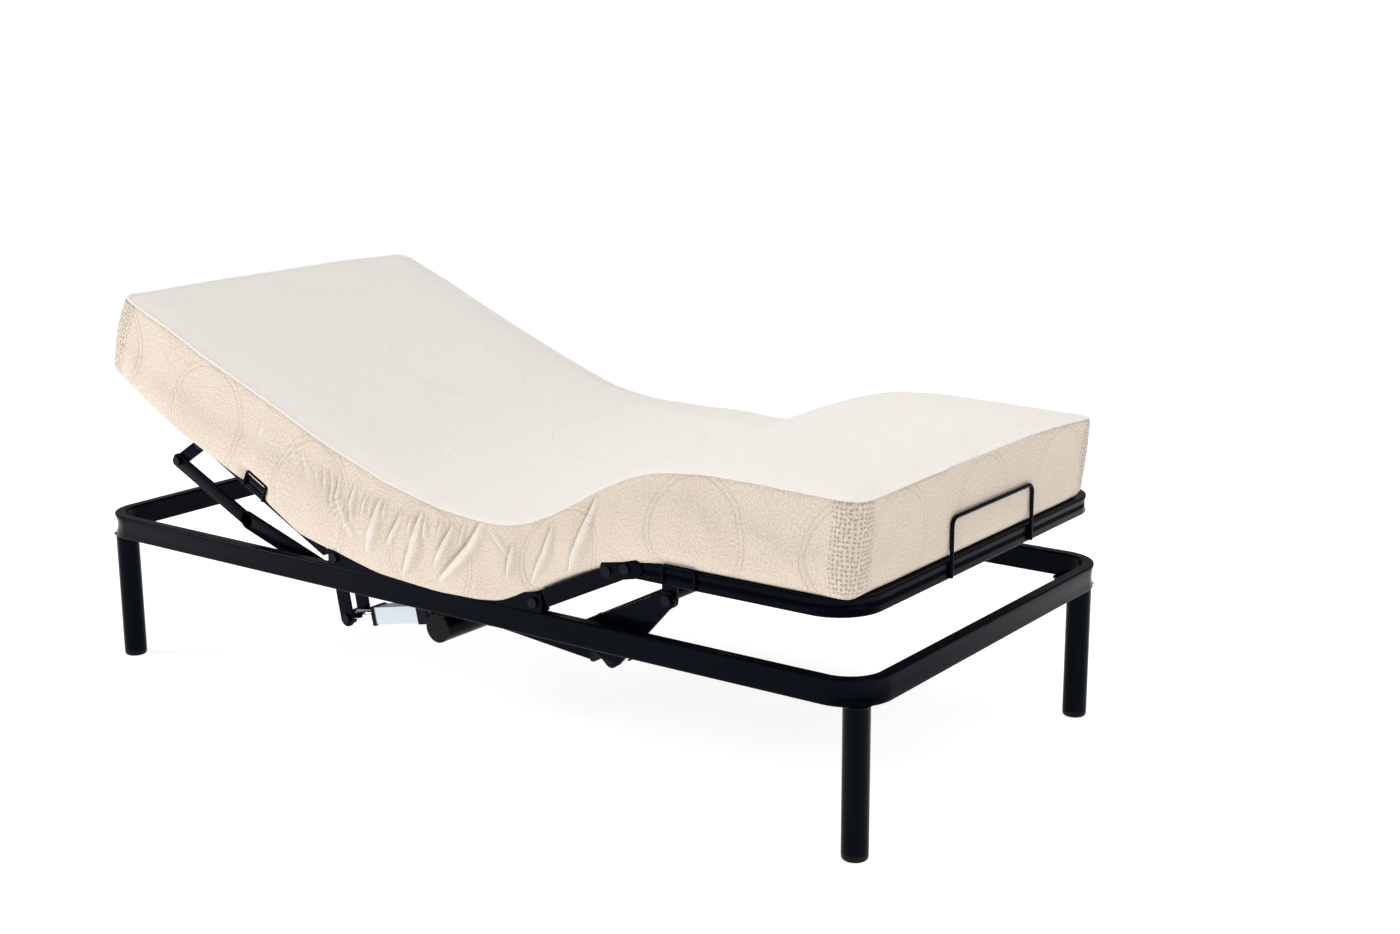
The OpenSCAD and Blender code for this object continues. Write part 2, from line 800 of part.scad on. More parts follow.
module foot_lift_brackets() {
    r = 17;
    color(black) at_foot() for (s = sides) {
        y0 = s > 0 ? arm_y - arm_t / 2 - slide_gap - arm_t : -arm_y + arm_t / 2 + slide_gap;
        difference() {
            plate_y(y0, arm_t) difference() {
                union() {
                    bar_2d(bracket_run, [bracket_run[0], -rail_h / 2], r);
                    translate([bracket_run[0] - 30, -rail_h / 2 - 12]) square([60, 12]);
                }
                translate([bracket_run[0] - 2 * r, -rail_h / 2]) square([4 * r, 2 * r]);
            }
            round_y(bracket_run, bolt_r + fit_gap, y0 - eps, arm_t + 2 * eps);
        }
    }
}

module foot_bracket_bolts() {
    color(satin_black) for (s = sides)
        bolt_y(foot_pivot, s * (arm_y + arm_t / 2 + slide_gap),
            s * (arm_y - arm_t / 2 - slide_gap - arm_t), bolt_r);
}

// A wide wire bar across the foot that stops the mattress sliding off
module foot_end_retainer() {
    span = 157;
    top = 98;
    color(satin_black) at_foot() translate([foot_l + end_wire_r, 0, 0]) rotate([0, 0, 90])
        wire_loop(-span, span, -14, top, end_wire_r, 16);
}

module foot_side_retainers() {
    color(satin_black) at_foot() for (s = sides)
        translate([0, s * (half_w + wire_r), 0])
            wire_loop(82, 154, -14, 22, wire_r, 8);
}

// ---- Foot lift ----------------------------------------------------------------------

module foot_torque_tube() {
    color(black) torque_tube(foot_torque);
}

// Three-cornered lift plates at both sides, and the pair of crank plates in between
module foot_lift_plates() {
    r = 17;
    color(black) {
        for (s = sides) difference() {
            plate_y(s * arm_y - arm_t / 2, arm_t) {
                bar_2d(foot_torque, foot_pivot, r);
                bar_2d(foot_torque, gusset_tip, 10);
                bar_2d(gusset_tip, foot_pivot - [0, 7], 10);
                polygon([foot_torque, gusset_tip, foot_pivot]);
            }
            round_y(foot_torque, torque_d / 2, s * arm_y - arm_t, 2 * arm_t);
            round_y(foot_pivot, bolt_r + fit_gap, s * arm_y - arm_t, 2 * arm_t);
        }
        crank_plates(foot_torque, foot_pin, 17);
    }
}

module foot_crank_pin() {
    color(satin_black) crank_pin(foot_pin);
}

// ---- Nodes --------------------------------------------------------------------------

base_side_rails();
base_head_bow();
base_foot_bow();
corner_gussets();
legs();
leg_glides();
leg_bolts();
seat_rails();
seat_crossbars();
seat_deck_board();
cross_tube();
cross_tube_caps();
cross_tube_hangers();
actuator_anchors();
lift_bearings();
hinge_bolts();
control_box();
mattress_seat();
head_rails();
head_end_bow();
head_crossbars();
head_deck_board();
head_link_brackets();
head_link_bolts();
head_side_retainers();
mattress_head();
head_links();
head_torque_tube();
head_lift_bars();
head_crank_plates();
head_lift_bolts();
head_crank_pin();
head_actuator_rod();
head_actuator_tube();
head_actuator_collar();
head_actuator_gearbox();
head_actuator_motor();
thigh_rails();
thigh_crossbar();
thigh_deck_board();
knee_plates();
knee_bolts();
mattress_thigh();
foot_rails();
foot_end_bow();
foot_crossbars();
foot_deck_board();
foot_lift_brackets();
foot_bracket_bolts();
foot_end_retainer();
foot_side_retainers();
mattress_foot();
foot_torque_tube();
foot_lift_plates();
foot_crank_pin();
foot_actuator_rod();
foot_actuator_tube();
foot_actuator_collar();
foot_actuator_gearbox();
foot_actuator_motor();
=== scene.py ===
import itertools
import math

import bmesh
import bpy
import numpy as np
from mathutils import Matrix, Vector


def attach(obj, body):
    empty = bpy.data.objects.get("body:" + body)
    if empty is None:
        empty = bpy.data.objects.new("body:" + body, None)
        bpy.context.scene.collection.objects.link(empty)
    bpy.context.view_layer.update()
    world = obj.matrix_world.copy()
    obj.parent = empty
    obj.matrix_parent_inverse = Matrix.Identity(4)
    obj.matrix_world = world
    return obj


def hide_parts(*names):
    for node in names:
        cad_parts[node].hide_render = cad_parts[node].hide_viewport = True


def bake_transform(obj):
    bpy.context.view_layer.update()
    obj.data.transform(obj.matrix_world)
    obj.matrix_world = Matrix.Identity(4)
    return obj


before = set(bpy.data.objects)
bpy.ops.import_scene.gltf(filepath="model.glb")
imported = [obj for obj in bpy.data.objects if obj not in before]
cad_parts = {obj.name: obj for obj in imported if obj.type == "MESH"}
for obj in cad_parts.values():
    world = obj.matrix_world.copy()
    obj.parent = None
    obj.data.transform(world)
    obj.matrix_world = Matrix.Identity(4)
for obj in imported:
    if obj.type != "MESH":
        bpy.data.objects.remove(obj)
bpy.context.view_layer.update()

scene = bpy.context.scene


def placed(name, data):
    """A new object of the scene, at the origin and unturned."""
    made = bpy.data.objects.new(name, data)
    scene.collection.objects.link(made)
    return made


def set_sockets(node, **values):
    for key, value in values.items():
        node.inputs[key.replace("_", " ")].default_value = value


def new_material(name):
    made = bpy.data.materials.new(name)
    made.use_nodes = True
    return made, made.node_tree, made.node_tree.nodes["Principled BSDF"]


def new_mesh(name, points, edges, faces):
    mesh = bpy.data.meshes.new(name)
    mesh.from_pydata(points, edges, faces)
    return mesh


def unit(value):
    """Holds a share between 0 and 1."""
    return np.clip(value, 0, 1)


def node_group(name, kind, inputs, outputs):
    """An empty node tree with named sockets, what it is given, and where its results are sent."""
    tree = bpy.data.node_groups.new(name, kind)
    for title, socket, value in inputs:
        made = tree.interface.new_socket(title, in_out="INPUT", socket_type=socket)
        if value is not None:
            made.default_value = value
    for title, socket in outputs:
        tree.interface.new_socket(title, in_out="OUTPUT", socket_type=socket)
    return tree, tree.nodes.new("NodeGroupInput").outputs, tree.nodes.new("NodeGroupOutput").inputs


def add_node(tree, kind, settings=None, **sockets):
    """One node, its settings and its inputs: a value is set and a socket is linked."""
    node = tree.nodes.new(kind)
    for key, value in (settings or {}).items():
        setattr(node, key, value)
    for key, value in sockets.items():
        numbered = key[0] == "i" and key[1:].isdigit()
        socket = node.inputs[int(key[1:]) if numbered else key.replace("_", " ")]
        if isinstance(value, bpy.types.NodeSocket):
            tree.links.new(value, socket)
        else:
            socket.default_value = value
    return node


def put(tree, kind, settings=None, **sockets):
    """The first output of one node."""
    return add_node(tree, kind, settings, **sockets).outputs[0]


def math_node(tree, operation, *values):
    return put(tree, "ShaderNodeMath", {"operation": operation},
               **{f"i{n}": v for n, v in enumerate(values)})


def sums(tree):
    """Addition, subtraction and multiplication in one tree."""
    return (lambda a, b: math_node(tree, "ADD", a, b), lambda a, b: math_node(tree, "SUBTRACT", a, b),
            lambda a, b: math_node(tree, "MULTIPLY", a, b))


def send(tree, ends, **made):
    """Links results to the ends that they are named after."""
    for key, value in made.items():
        tree.links.new(value, ends[key.replace("_", " ")])


def mixed(tree, share, first, second):
    return add_node(tree, "ShaderNodeMix", {"data_type": "RGBA"}, i0=share, i6=first, i7=second).outputs[2]


FLOAT, COLOUR, VECTOR = "NodeSocketFloat", "NodeSocketColor", "NodeSocketVector"

# ---- Camera ----
# A lens a little longer than normal, standing off the foot end on the near side, level with
# the raised head of the mattress.
yaw, pitch, roll = (math.radians(a) for a in (125.96, -13.58, -0.30))
look = Vector((math.cos(pitch) * math.cos(yaw), math.cos(pitch) * math.sin(yaw), math.sin(pitch)))
level = look.cross(Vector((0, 0, 1))).normalized()
upward = level.cross(look)
side_axis = math.cos(roll) * level + math.sin(roll) * upward
up_axis = math.cos(roll) * upward - math.sin(roll) * level
lens = bpy.data.cameras.new("camera")
lens.lens = 51.9
lens.sensor_width = 36
lens.clip_end = 60
camera = placed("camera", lens)
camera.matrix_world = (
    Matrix.Translation((2.6884, -3.2621, 1.5066))
    @ Matrix((side_axis, up_axis, -look)).transposed().to_4x4()
)
scene.camera = camera

# ---- Studio: floor, sky and lights ----
# A plain white floor under an even white sky, with one large soft box high on the near side of
# the head end, a weaker one off the foot end and a narrow one low down that edges the frame.
scene.view_settings.view_transform = "Standard"
sky = bpy.data.worlds.new("sky")
scene.world = sky
sky.use_nodes = True
sky_tree = sky.node_tree
sky_light = sky_tree.nodes["Background"]
set_sockets(sky_light, Color=(0.9, 0.95, 1.0, 1), Strength=0.3)
sky_seen = put(sky_tree, "ShaderNodeBackground", Color=(1, 1, 1, 1), Strength=1.05)
camera_ray = add_node(sky_tree, "ShaderNodeLightPath").outputs["Is Camera Ray"]
sky_pick = put(sky_tree, "ShaderNodeMixShader", i0=camera_ray, i1=sky_light.outputs[0], i2=sky_seen)
send(sky_tree, sky_tree.nodes["World Output"].inputs, Surface=sky_pick)

floor_mesh = new_mesh("floor", [(-14, -14, 0), (14, -14, 0), (14, 14, 0), (-14, 14, 0)], [], [(0, 1, 2, 3)])
floor = placed("floor", floor_mesh)
floor_paint, _, floor_shader = new_material("floor_paint")
set_sockets(floor_shader, Base_Color=(0.62, 0.62, 0.62, 1), Roughness=0.9, Specular_IOR_Level=0.1,
            Emission_Color=(1, 1, 1, 1), Emission_Strength=0.84)
floor_mesh.materials.append(floor_paint)

for name, place, aim, size, power, tint in (
    ("key_box", (-3.9, -3.0, 2.3), (-0.2, 0, 0.5), (1.3, 1.2), 96, (1.0, 0.985, 0.96)),
    ("foot_box", (3.6, -0.6, 3.0), (0.4, 0, 0.6), (1.6, 1.6), 24, (1.0, 1.0, 0.98)),
    ("top_box", (0.9, 0.5, 4.2), (0.5, 0, 0.5), (2.2, 1.8), 74, (1.0, 1.0, 0.99)),
    ("side_box", (0.9, -4.4, 2.6), (0.2, 0, 0.5), (2.0, 1.0), 17, (1.0, 0.99, 0.97)),
    ("edge_box", (-0.4, -3.6, 1.5), (0, 0, 0.3), (4.0, 0.05), 6, (0.62, 0.8, 1.0)),
):
    lamp = bpy.data.lights.new(name, "AREA")
    lamp.shape = "RECTANGLE"
    lamp.size, lamp.size_y = size
    lamp.energy = power
    lamp.color = tint
    box = placed(name, lamp)
    box.location = place
    box.rotation_euler = (Vector(aim) - Vector(place)).to_track_quat("-Z", "Y").to_euler()


# ---- Lower frame: the bent tube loop ----
# Rectangular steel tube, 50 by 25 mm, bent cold at the four corners, which draws the outer wall
# of each bend in. It is welded into one loop and finished in gloss black powder coat.
HALF_LENGTH, HALF_WIDTH = 1.016, 0.4825
TUBE_WIDTH, BASE_HEIGHT, BASE_MIDDLE = 0.025, 0.050, 0.315
BEND_MIDDLE, BEND_STEPS, TUBE_EDGE = 0.0775, 14, 0.0034
BASE_DRAW, SECTION_DRAW = 0.0065, 0.005

# the fine pebble of a sprayed or moulded skin, with softened edges painted brighter: partly wear, partly a
# painted highlight
skin, given, sent = node_group(
    "sprayed_skin", "ShaderNodeTree",
    [("Place", VECTOR, None), ("Grain", FLOAT, 900.0), ("Mottle", FLOAT, 9.0), ("Base", COLOUR, None),
     ("Worn", COLOUR, None), ("Rough", FLOAT, 0.3), ("Spread", FLOAT, 0.1), ("Edge", FLOAT, 0.0012)],
    [("Colour", COLOUR), ("Roughness", FLOAT), ("Height", FLOAT), ("Soft Normal", VECTOR)])
plus, less, times = sums(skin)
pebble, cloud = (
    put(skin, "ShaderNodeTexNoise", Vector=given["Place"], Scale=given[size], Detail=detail,
        Roughness=roughness)
    for size, detail, roughness in (("Grain", 2.0, 0.5), ("Mottle", 5.0, 0.6)))
bent = put(skin, "ShaderNodeBevel", {"samples": 6}, Radius=given["Edge"])
true_normal = add_node(skin, "ShaderNodeNewGeometry").outputs["Normal"]
turn = add_node(skin, "ShaderNodeVectorMath", {"operation": "DOT_PRODUCT"}, i0=bent,
                i1=true_normal).outputs["Value"]
edge_mask = put(skin, "ShaderNodeMapRange", Value=turn, From_Min=0.999, From_Max=0.86,
                To_Min=0.0, To_Max=1.0)
# the edges are painted towards the brighter colour, partly as wear and partly as a painted highlight along
# them; the cloud adds random mottle over the flats
edge_wear_and_sheen = times(edge_mask, plus(cloud, 0.35))
wear_and_sheen_mask = math_node(skin, "MINIMUM", plus(edge_wear_and_sheen, times(cloud, 0.12)), 1.0)
send(skin, sent, Colour=mixed(skin, wear_and_sheen_mask, given["Base"], given["Worn"]),
     Roughness=plus(given["Rough"], times(less(cloud, 0.5), given["Spread"])), Height=pebble,
     Soft_Normal=bent)


def skin_material(name, base, worn, rough, spread, grain, relief, edge=0.0012, **fixed):
    """A sprayed, plated or moulded finish built on the shared skin group."""
    made, tree, shader = new_material(name)
    place = tree.nodes.new("ShaderNodeTexCoord").outputs["Object"]
    coat = add_node(tree, "ShaderNodeGroup", {"node_tree": skin}, Place=place, Grain=grain, Base=(*base, 1),
                    Worn=(*worn, 1), Rough=rough, Spread=spread, Edge=edge)
    bump = put(tree, "ShaderNodeBump", Strength=1.0, Distance=relief, Height=coat.outputs["Height"],
               Normal=coat.outputs["Soft Normal"])
    send(tree, shader.inputs, Base_Color=coat.outputs["Colour"], Roughness=coat.outputs["Roughness"],
         Normal=bump)
    set_sockets(shader, **fixed)
    return made


black_coat = skin_material("black_powder_coat", (0.0010, 0.0013, 0.0024), (0.012, 0.016, 0.028), 0.22, 0.14,
                           950.0, 0.00003, 0.0016, Specular_IOR_Level=0.045,
                           Specular_Tint=(0.60, 0.76, 1.0, 1))


def finish_tree(tree, form, given, sent):
    """The end of every making tree: one real mesh in the finish that the tree is given."""
    form = put(tree, "GeometryNodeRealizeInstances", Geometry=form)
    form = put(tree, "GeometryNodeSetMaterial", Geometry=form, Material=given["Finish"])
    tree.links.new(form, sent[0])


# rectangular tube with rounded edges, drawn along any path
tube_tree, given, sent = node_group(
    "bent_tube", "GeometryNodeTree",
    [("Path", "NodeSocketGeometry", None), ("Width", FLOAT, 0.025), ("Height", FLOAT, 0.05),
     ("Edge", FLOAT, 0.003), ("Finish", "NodeSocketMaterial", None)], [("Solid", "NodeSocketGeometry")])
tube_run = put(tube_tree, "GeometryNodeMeshToCurve", Mesh=given["Path"])
tube_run = put(tube_tree, "GeometryNodeSetCurveNormal", {"mode": "Z_UP"}, Curve=tube_run)
section = put(tube_tree, "GeometryNodeCurvePrimitiveQuadrilateral", Width=given["Width"],
              Height=given["Height"])
section = put(tube_tree, "GeometryNodeSubdivideCurve", Curve=section, Cuts=5)
section = put(tube_tree, "GeometryNodeFilletCurve", {"mode": "POLY"}, Curve=section, Count=3,
              Radius=given["Edge"])
tube_solid = put(tube_tree, "GeometryNodeCurveToMesh", Curve=tube_run, Profile_Curve=section,
                 Fill_Caps=True)
finish_tree(tube_tree, tube_solid, given, sent)


def rounded_path(corners, radius, closed=False, steps=BEND_STEPS):
    """The points of a run with its corners bent to a radius."""
    corners = [Vector(c) for c in corners]
    points, count = [], len(corners)
    for n, corner in enumerate(corners):
        if not closed and n in (0, count - 1):
            points.append(corner)
            continue
        back = (corners[n - 1] - corner).normalized()
        ahead = (corners[(n + 1) % count] - corner).normalized()
        half = back.angle(ahead) / 2
        cut = radius / math.tan(half)
        centre = corner + (back + ahead).normalized() * radius / math.sin(half)
        first = (corner + back * cut - centre).normalized()
        last = (corner + ahead * cut - centre).normalized()
        points += [centre + first.slerp(last, k / steps) * radius for k in range(steps + 1)]
    return points


def path_mesh(name, points, closed=False):
    edges = [(n, n + 1) for n in range(len(points) - 1)] + ([(len(points) - 1, 0)] if closed else [])
    return new_mesh(name, [tuple(p) for p in points], edges, [])


def kept_mesh(piece):
    """A plain mesh of a piece with its modifiers applied."""
    return bpy.data.meshes.new_from_object(piece.evaluated_get(bpy.context.evaluated_depsgraph_get()))


def grow(name, mesh, tree, **sizes):
    """Runs a Geometry Nodes tree on a mesh and keeps the result as a plain mesh."""
    piece = placed(name, mesh)
    making = piece.modifiers.new("making", "NODES")
    making.node_group = tree
    names = {s.name: s.identifier for s in tree.interface.items_tree if s.in_out == "INPUT"}
    for key, value in sizes.items():
        making[names[key]] = value
    solid = kept_mesh(piece)
    piece.modifiers.remove(making)
    piece.data = solid
    bpy.data.meshes.remove(mesh)
    solid.shade_smooth()
    solid.set_sharp_from_angle(angle=math.radians(38))
    return piece


def corners_of(mesh):
    return np.array([v.co for v in mesh.vertices], float).reshape(-1, 3)


def draw_in_bends(mesh, centres, outer_radius, middle, height, depth):
    """Draws the outer wall of each bend in, deepest at half height and half way round."""
    co = corners_of(mesh)
    for cx, cy in centres:
        away = co[:, :2] - (cx, cy)
        reach = np.linalg.norm(away, axis=1)
        outside = (away[:, 0] * np.sign(cx) > 0) & (away[:, 1] * np.sign(cy) > 0)
        wall = unit((reach - outer_radius + 0.004) / 0.003) * outside
        turn = np.arctan2(np.abs(away[:, 1]), np.abs(away[:, 0]))
        round_share = np.sin(2 * turn) ** 0.8 * outside
        up_share = unit(np.cos(np.pi * (co[:, 2] - middle) / height))
        pull = depth * wall * round_share * up_share
        co[:, :2] -= away / np.maximum(reach, 1e-9)[:, None] * pull[:, None]
    mesh.vertices.foreach_set("co", co.ravel())
    mesh.update()


loop_x, loop_y = HALF_LENGTH - TUBE_WIDTH / 2, HALF_WIDTH - TUBE_WIDTH / 2
loop_corners = [(x, y, BASE_MIDDLE) for x, y in
                ((-loop_x, -loop_y), (loop_x, -loop_y), (loop_x, loop_y), (-loop_x, loop_y))]
loop_path = rounded_path(loop_corners, BEND_MIDDLE, closed=True)
loop_line = path_mesh("base_loop", loop_path, closed=True)
base_loop = grow("base_tube_loop", loop_line, tube_tree, Width=TUBE_WIDTH,
                 Height=BASE_HEIGHT, Edge=TUBE_EDGE, Finish=black_coat)
loop_bend_x, loop_bend_y = loop_x - BEND_MIDDLE, loop_y - BEND_MIDDLE
draw_in_bends(base_loop.data, [(sx * loop_bend_x, sy * loop_bend_y) for sx in (-1, 1) for sy in (-1, 1)],
              BEND_MIDDLE + TUBE_WIDTH / 2, BASE_MIDDLE, BASE_HEIGHT, BASE_DRAW)
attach(base_loop, "base")
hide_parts("base_side_rails", "base_head_bow", "base_foot_bow")


# ---- Legs ----
# Four round steel tubes, 50 mm across, welded to the corner plates and powder coated, each
# standing on a pressed-in nylon glide with a rounded foot.
LEG_X, LEG_Y, LEG_RADIUS, LEG_TOP = 0.972, 0.4385, 0.025, 0.2895
glide_black = skin_material("black_plastic", (0.003, 0.003, 0.0034), (0.014, 0.014, 0.016), 0.42, 0.16,
                            1400.0, 0.00008, 0.001, Specular_IOR_Level=0.09)


def turned(name, profile, places, sides, finishes):
    """A lathed form, copied to each place; profile rows are radius, height and material number."""
    points, faces, kinds = [], [], []
    for px, py in places:
        start = len(points)
        for radius, height, _ in profile:
            for n in range(sides):
                a = 2 * math.pi * n / sides
                points.append((px + radius * math.cos(a), py + radius * math.sin(a), height))
        for row in range(len(profile) - 1):
            for n in range(sides):
                m = (n + 1) % sides
                low, high = start + row * sides, start + (row + 1) * sides
                faces.append((low + n, low + m, high + m, high + n))
                kinds.append(profile[row][2])
        faces.append(tuple(start + n for n in reversed(range(sides))))
        faces.append(tuple(start + (len(profile) - 1) * sides + n for n in range(sides)))
        kinds += [profile[0][2], profile[-1][2]]
    mesh = new_mesh(name, points, [], faces)
    for finish in finishes:
        mesh.materials.append(finish)
    mesh.polygons.foreach_set("material_index", kinds)
    mesh.shade_smooth()
    mesh.set_sharp_from_angle(angle=math.radians(35))
    return placed(name, mesh)


glide_profile = [(0.0185, 0.0, 1), (0.0215, 0.0008, 1), (0.0236, 0.0028, 1), (0.0246, 0.006, 1),
                 (0.0247, 0.0132, 1)]
tube_profile = [(0.0238, 0.0138, 0), (0.0238, 0.0142, 0), (LEG_RADIUS - 0.0006, 0.0144, 0),
                (LEG_RADIUS, 0.0152, 0), (LEG_RADIUS, 0.284, 0)]
weld_profile = [(0.0256, 0.2862, 0), (0.0268, 0.288, 0), (0.0288, 0.2892, 0), (0.0292, LEG_TOP, 0)]
leg_places = [(sx * LEG_X, sy * LEG_Y) for sx in (-1, 1) for sy in (-1, 1)]
legs = turned("legs_with_glides", glide_profile + tube_profile + weld_profile, leg_places, 56,
              [black_coat, glide_black])
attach(legs, "base")
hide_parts("legs", "leg_glides")

# ---- Fixed hardware of the lower frame and seat ----
# Laser-cut plates, hangers, bearings, rails and crossbars, welded or bolted on, all of them in
# the same black powder coat; bolts are black zinc, and housings are moulded in black nylon.
bolt_black = skin_material("black_hardware", (0.002, 0.0025, 0.004), (0.025, 0.032, 0.05), 0.30, 0.12, 1500.0,
                           0.00003, 0.0009, Metallic=0.4, Specular_IOR_Level=0.15)
board_black = skin_material("black_board", (0.008, 0.008, 0.0085), (0.02, 0.0195, 0.019), 0.62, 0.2, 520.0,
                            0.0003, 0.001, Specular_IOR_Level=0.3)


def finish_nodes(material, *names):
    for name in names:
        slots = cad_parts[name].data.materials
        slots.clear()
        slots.append(material)


finish_nodes(black_coat, "corner_gussets", "cross_tube", "cross_tube_hangers", "actuator_anchors",
             "seat_rails", "seat_crossbars")
finish_nodes(glide_black, "cross_tube_caps", "lift_bearings", "control_box")
finish_nodes(board_black, "seat_deck_board")
finish_nodes(bolt_black, "leg_bolts", "hinge_bolts")

# ---- Head section ----
# A bent tube frame with hinge plates, crossbars and a black-faced board, hung on two pivot
# bolts behind the seat. The link brackets are welded under it.
HEAD_HINGE, HEAD_ANGLE, HEAD_LENGTH = Vector((-0.255, 0, 0.3585)), math.radians(27), 0.761
RAIL_HEIGHT, RAIL_BACK = 0.035, 0.030


def lay_at(pivot, angle):
    """Turns a mesh modelled level about a pivot to the angle that its section stands at."""
    return Matrix.Translation(pivot) @ Matrix.Rotation(angle, 4, "Y")


at_head = lay_at(HEAD_HINGE, HEAD_ANGLE)


def section_frame(name, start_x, end_x, place):
    """The U of rectangular tube that carries one section's board."""
    run = rounded_path([(start_x, -loop_y, 0), (end_x, -loop_y, 0), (end_x, loop_y, 0), (start_x, loop_y, 0)],
                       BEND_MIDDLE)
    piece = grow(name, path_mesh(name, run), tube_tree, Width=TUBE_WIDTH, Height=RAIL_HEIGHT, Edge=TUBE_EDGE,
                 Finish=black_coat)
    bend_x = end_x - math.copysign(BEND_MIDDLE, end_x)
    draw_in_bends(piece.data, [(bend_x, -loop_bend_y), (bend_x, loop_bend_y)],
                  BEND_MIDDLE + TUBE_WIDTH / 2, 0, RAIL_HEIGHT, SECTION_DRAW)
    piece.data.transform(place)
    return piece


def capsule(first, last, radius, steps=10):
    """The outline of a plate with round ends, in x and z."""
    first, last = Vector(first), Vector(last)
    lean = math.atan2((last - first).y, (last - first).x)
    points = []
    for centre, start in ((last, lean - math.pi / 2), (first, lean + math.pi / 2)):
        for n in range(steps + 1):
            a = start + math.pi * n / steps
            points.append((centre.x + radius * math.cos(a), centre.y + radius * math.sin(a)))
    return points


def plates(name, outlines, material, place=None, edge=0.0009):
    """Flat plates cut to an outline in x and z, between two y, with eased edges."""
    form = bmesh.new()
    for outline, y0, y1 in outlines:
        low, high = sorted((y0, y1))
        rims = [[form.verts.new((x, y, z)) for x, z in outline] for y in (low, high)]
        form.faces.new(rims[0])
        form.faces.new(list(reversed(rims[1])))
        count = len(outline)
        for n in range(count):
            m = (n + 1) % count
            form.faces.new((rims[0][m], rims[0][n], rims[1][n], rims[1][m]))
    bmesh.ops.recalc_face_normals(form, faces=form.faces)
    rim_edges = [e for e in form.edges if e.calc_face_angle(0) > math.radians(60)
                 and abs(e.verts[0].co.y - e.verts[1].co.y) < 1e-6]
    bmesh.ops.bevel(form, geom=rim_edges, offset=edge, segments=2, profile=0.5, affect="EDGES")
    mesh = bpy.data.meshes.new(name)
    form.to_mesh(mesh)
    form.free()
    if place:
        mesh.transform(place)
    mesh.materials.append(material)
    mesh.shade_smooth()
    mesh.set_sharp_from_angle(angle=math.radians(32))
    return placed(name, mesh)


def pair_of(outline, y, thick):
    """One outline at both sides of the bed, as plates() takes it."""
    return [(outline, s * (y - thick / 2), s * (y + thick / 2)) for s in (-1, 1)]


def joined(name, *pieces):
    """Welds plain pieces into one mesh object, keeping their materials."""
    with bpy.context.temp_override(active_object=pieces[0], selected_editable_objects=list(pieces)):
        bpy.ops.object.join()
    pieces[0].name = name
    return pieces[0]


head_tube = section_frame("head_tube_frame", -RAIL_BACK, -(HEAD_LENGTH - TUBE_WIDTH / 2), at_head)
INNER_Y = HALF_WIDTH - TUBE_WIDTH
hinge_outline = capsule((-0.11, 0), (0, 0), 0.0155)
head_hinge_plates = plates("head_hinge_plates", pair_of(hinge_outline, INNER_Y - 0.0035, 0.005), black_coat,
                           at_head)
head_frame = joined("head_section_frame", head_tube, head_hinge_plates)
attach(head_frame, "head_section")
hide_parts("head_rails", "head_end_bow")
finish_nodes(black_coat, "head_crossbars", "head_link_brackets")
finish_nodes(board_black, "head_deck_board")
finish_nodes(bolt_black, "head_link_bolts")

# ---- Head lift ----
# A torque tube under the seat turns two bent flat bars, whose ends push the head section up
# through short swinging links. Two crank plates in between take the actuator's pin.
ARM_Y, ARM_THICK = 0.440, 0.006
HEAD_TORQUE, BAR_BEND = (-0.332, 0.310), (-0.560, 0.382)
LINK_LOW, LINK_TOP = (-0.7740, 0.4845), (-0.6970, 0.5330)

bars = plates("head_lift_bars", pair_of(capsule(HEAD_TORQUE, BAR_BEND, 0.020), ARM_Y, ARM_THICK)
              + pair_of(capsule(BAR_BEND, LINK_LOW, 0.016), ARM_Y, ARM_THICK), black_coat)
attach(bars, "head_lift")
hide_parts("head_lift_bars")
links = plates("head_link_plates", pair_of(capsule(LINK_LOW, LINK_TOP, 0.014), ARM_Y - 0.0065, ARM_THICK),
               black_coat)
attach(links, "head_links")
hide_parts("head_links")
finish_nodes(black_coat, "head_torque_tube", "head_crank_plates")
finish_nodes(bolt_black, "head_lift_bolts", "head_crank_pin")

# ---- Thigh section and knee ----
# A short frame pivoted in front of the seat. Rounded plates bolted outside its rails carry the
# knee pivots, where the foot section hangs.
THIGH_HINGE, THIGH_ANGLE, THIGH_LENGTH = Vector((0.280, 0, 0.3585)), math.radians(-25), 0.250
at_thigh = lay_at(THIGH_HINGE, THIGH_ANGLE)
KNEE = at_thigh @ Vector((THIGH_LENGTH, 0, 0))
finish_nodes(black_coat, "thigh_rails", "thigh_crossbar")
finish_nodes(board_black, "thigh_deck_board")
KNEE_PLATE_TILT = math.radians(12.5)
at_knee_plate = at_thigh @ Matrix.Translation((THIGH_LENGTH, 0, 0)) @ Matrix.Rotation(KNEE_PLATE_TILT, 4, "Y")
knee_outline = capsule((-0.042, 0), (0.016, 0), 0.020)
knee_plates = plates("knee_plates", pair_of(knee_outline, HALF_WIDTH + 0.0025, 0.004), black_coat,
                     at_knee_plate)
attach(knee_plates, "thigh_section")
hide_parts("knee_plates")
finish_nodes(bolt_black, "knee_bolts")

# ---- Foot section ----
# A bent tube frame that stays level while its lift plates, on the second torque tube, swing it
# up. It has crossbars, a black-faced board and two brackets under its rails.
FOOT_LENGTH = 0.486
at_foot = Matrix.Translation(KNEE)
foot_frame = section_frame("foot_section_frame", -0.012, FOOT_LENGTH - TUBE_WIDTH / 2, at_foot)
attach(foot_frame, "foot_section")
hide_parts("foot_rails", "foot_end_bow")
finish_nodes(black_coat, "foot_crossbars", "foot_lift_brackets", "foot_torque_tube", "foot_lift_plates")
finish_nodes(board_black, "foot_deck_board")
finish_nodes(bolt_black, "foot_bracket_bolts", "foot_crank_pin")

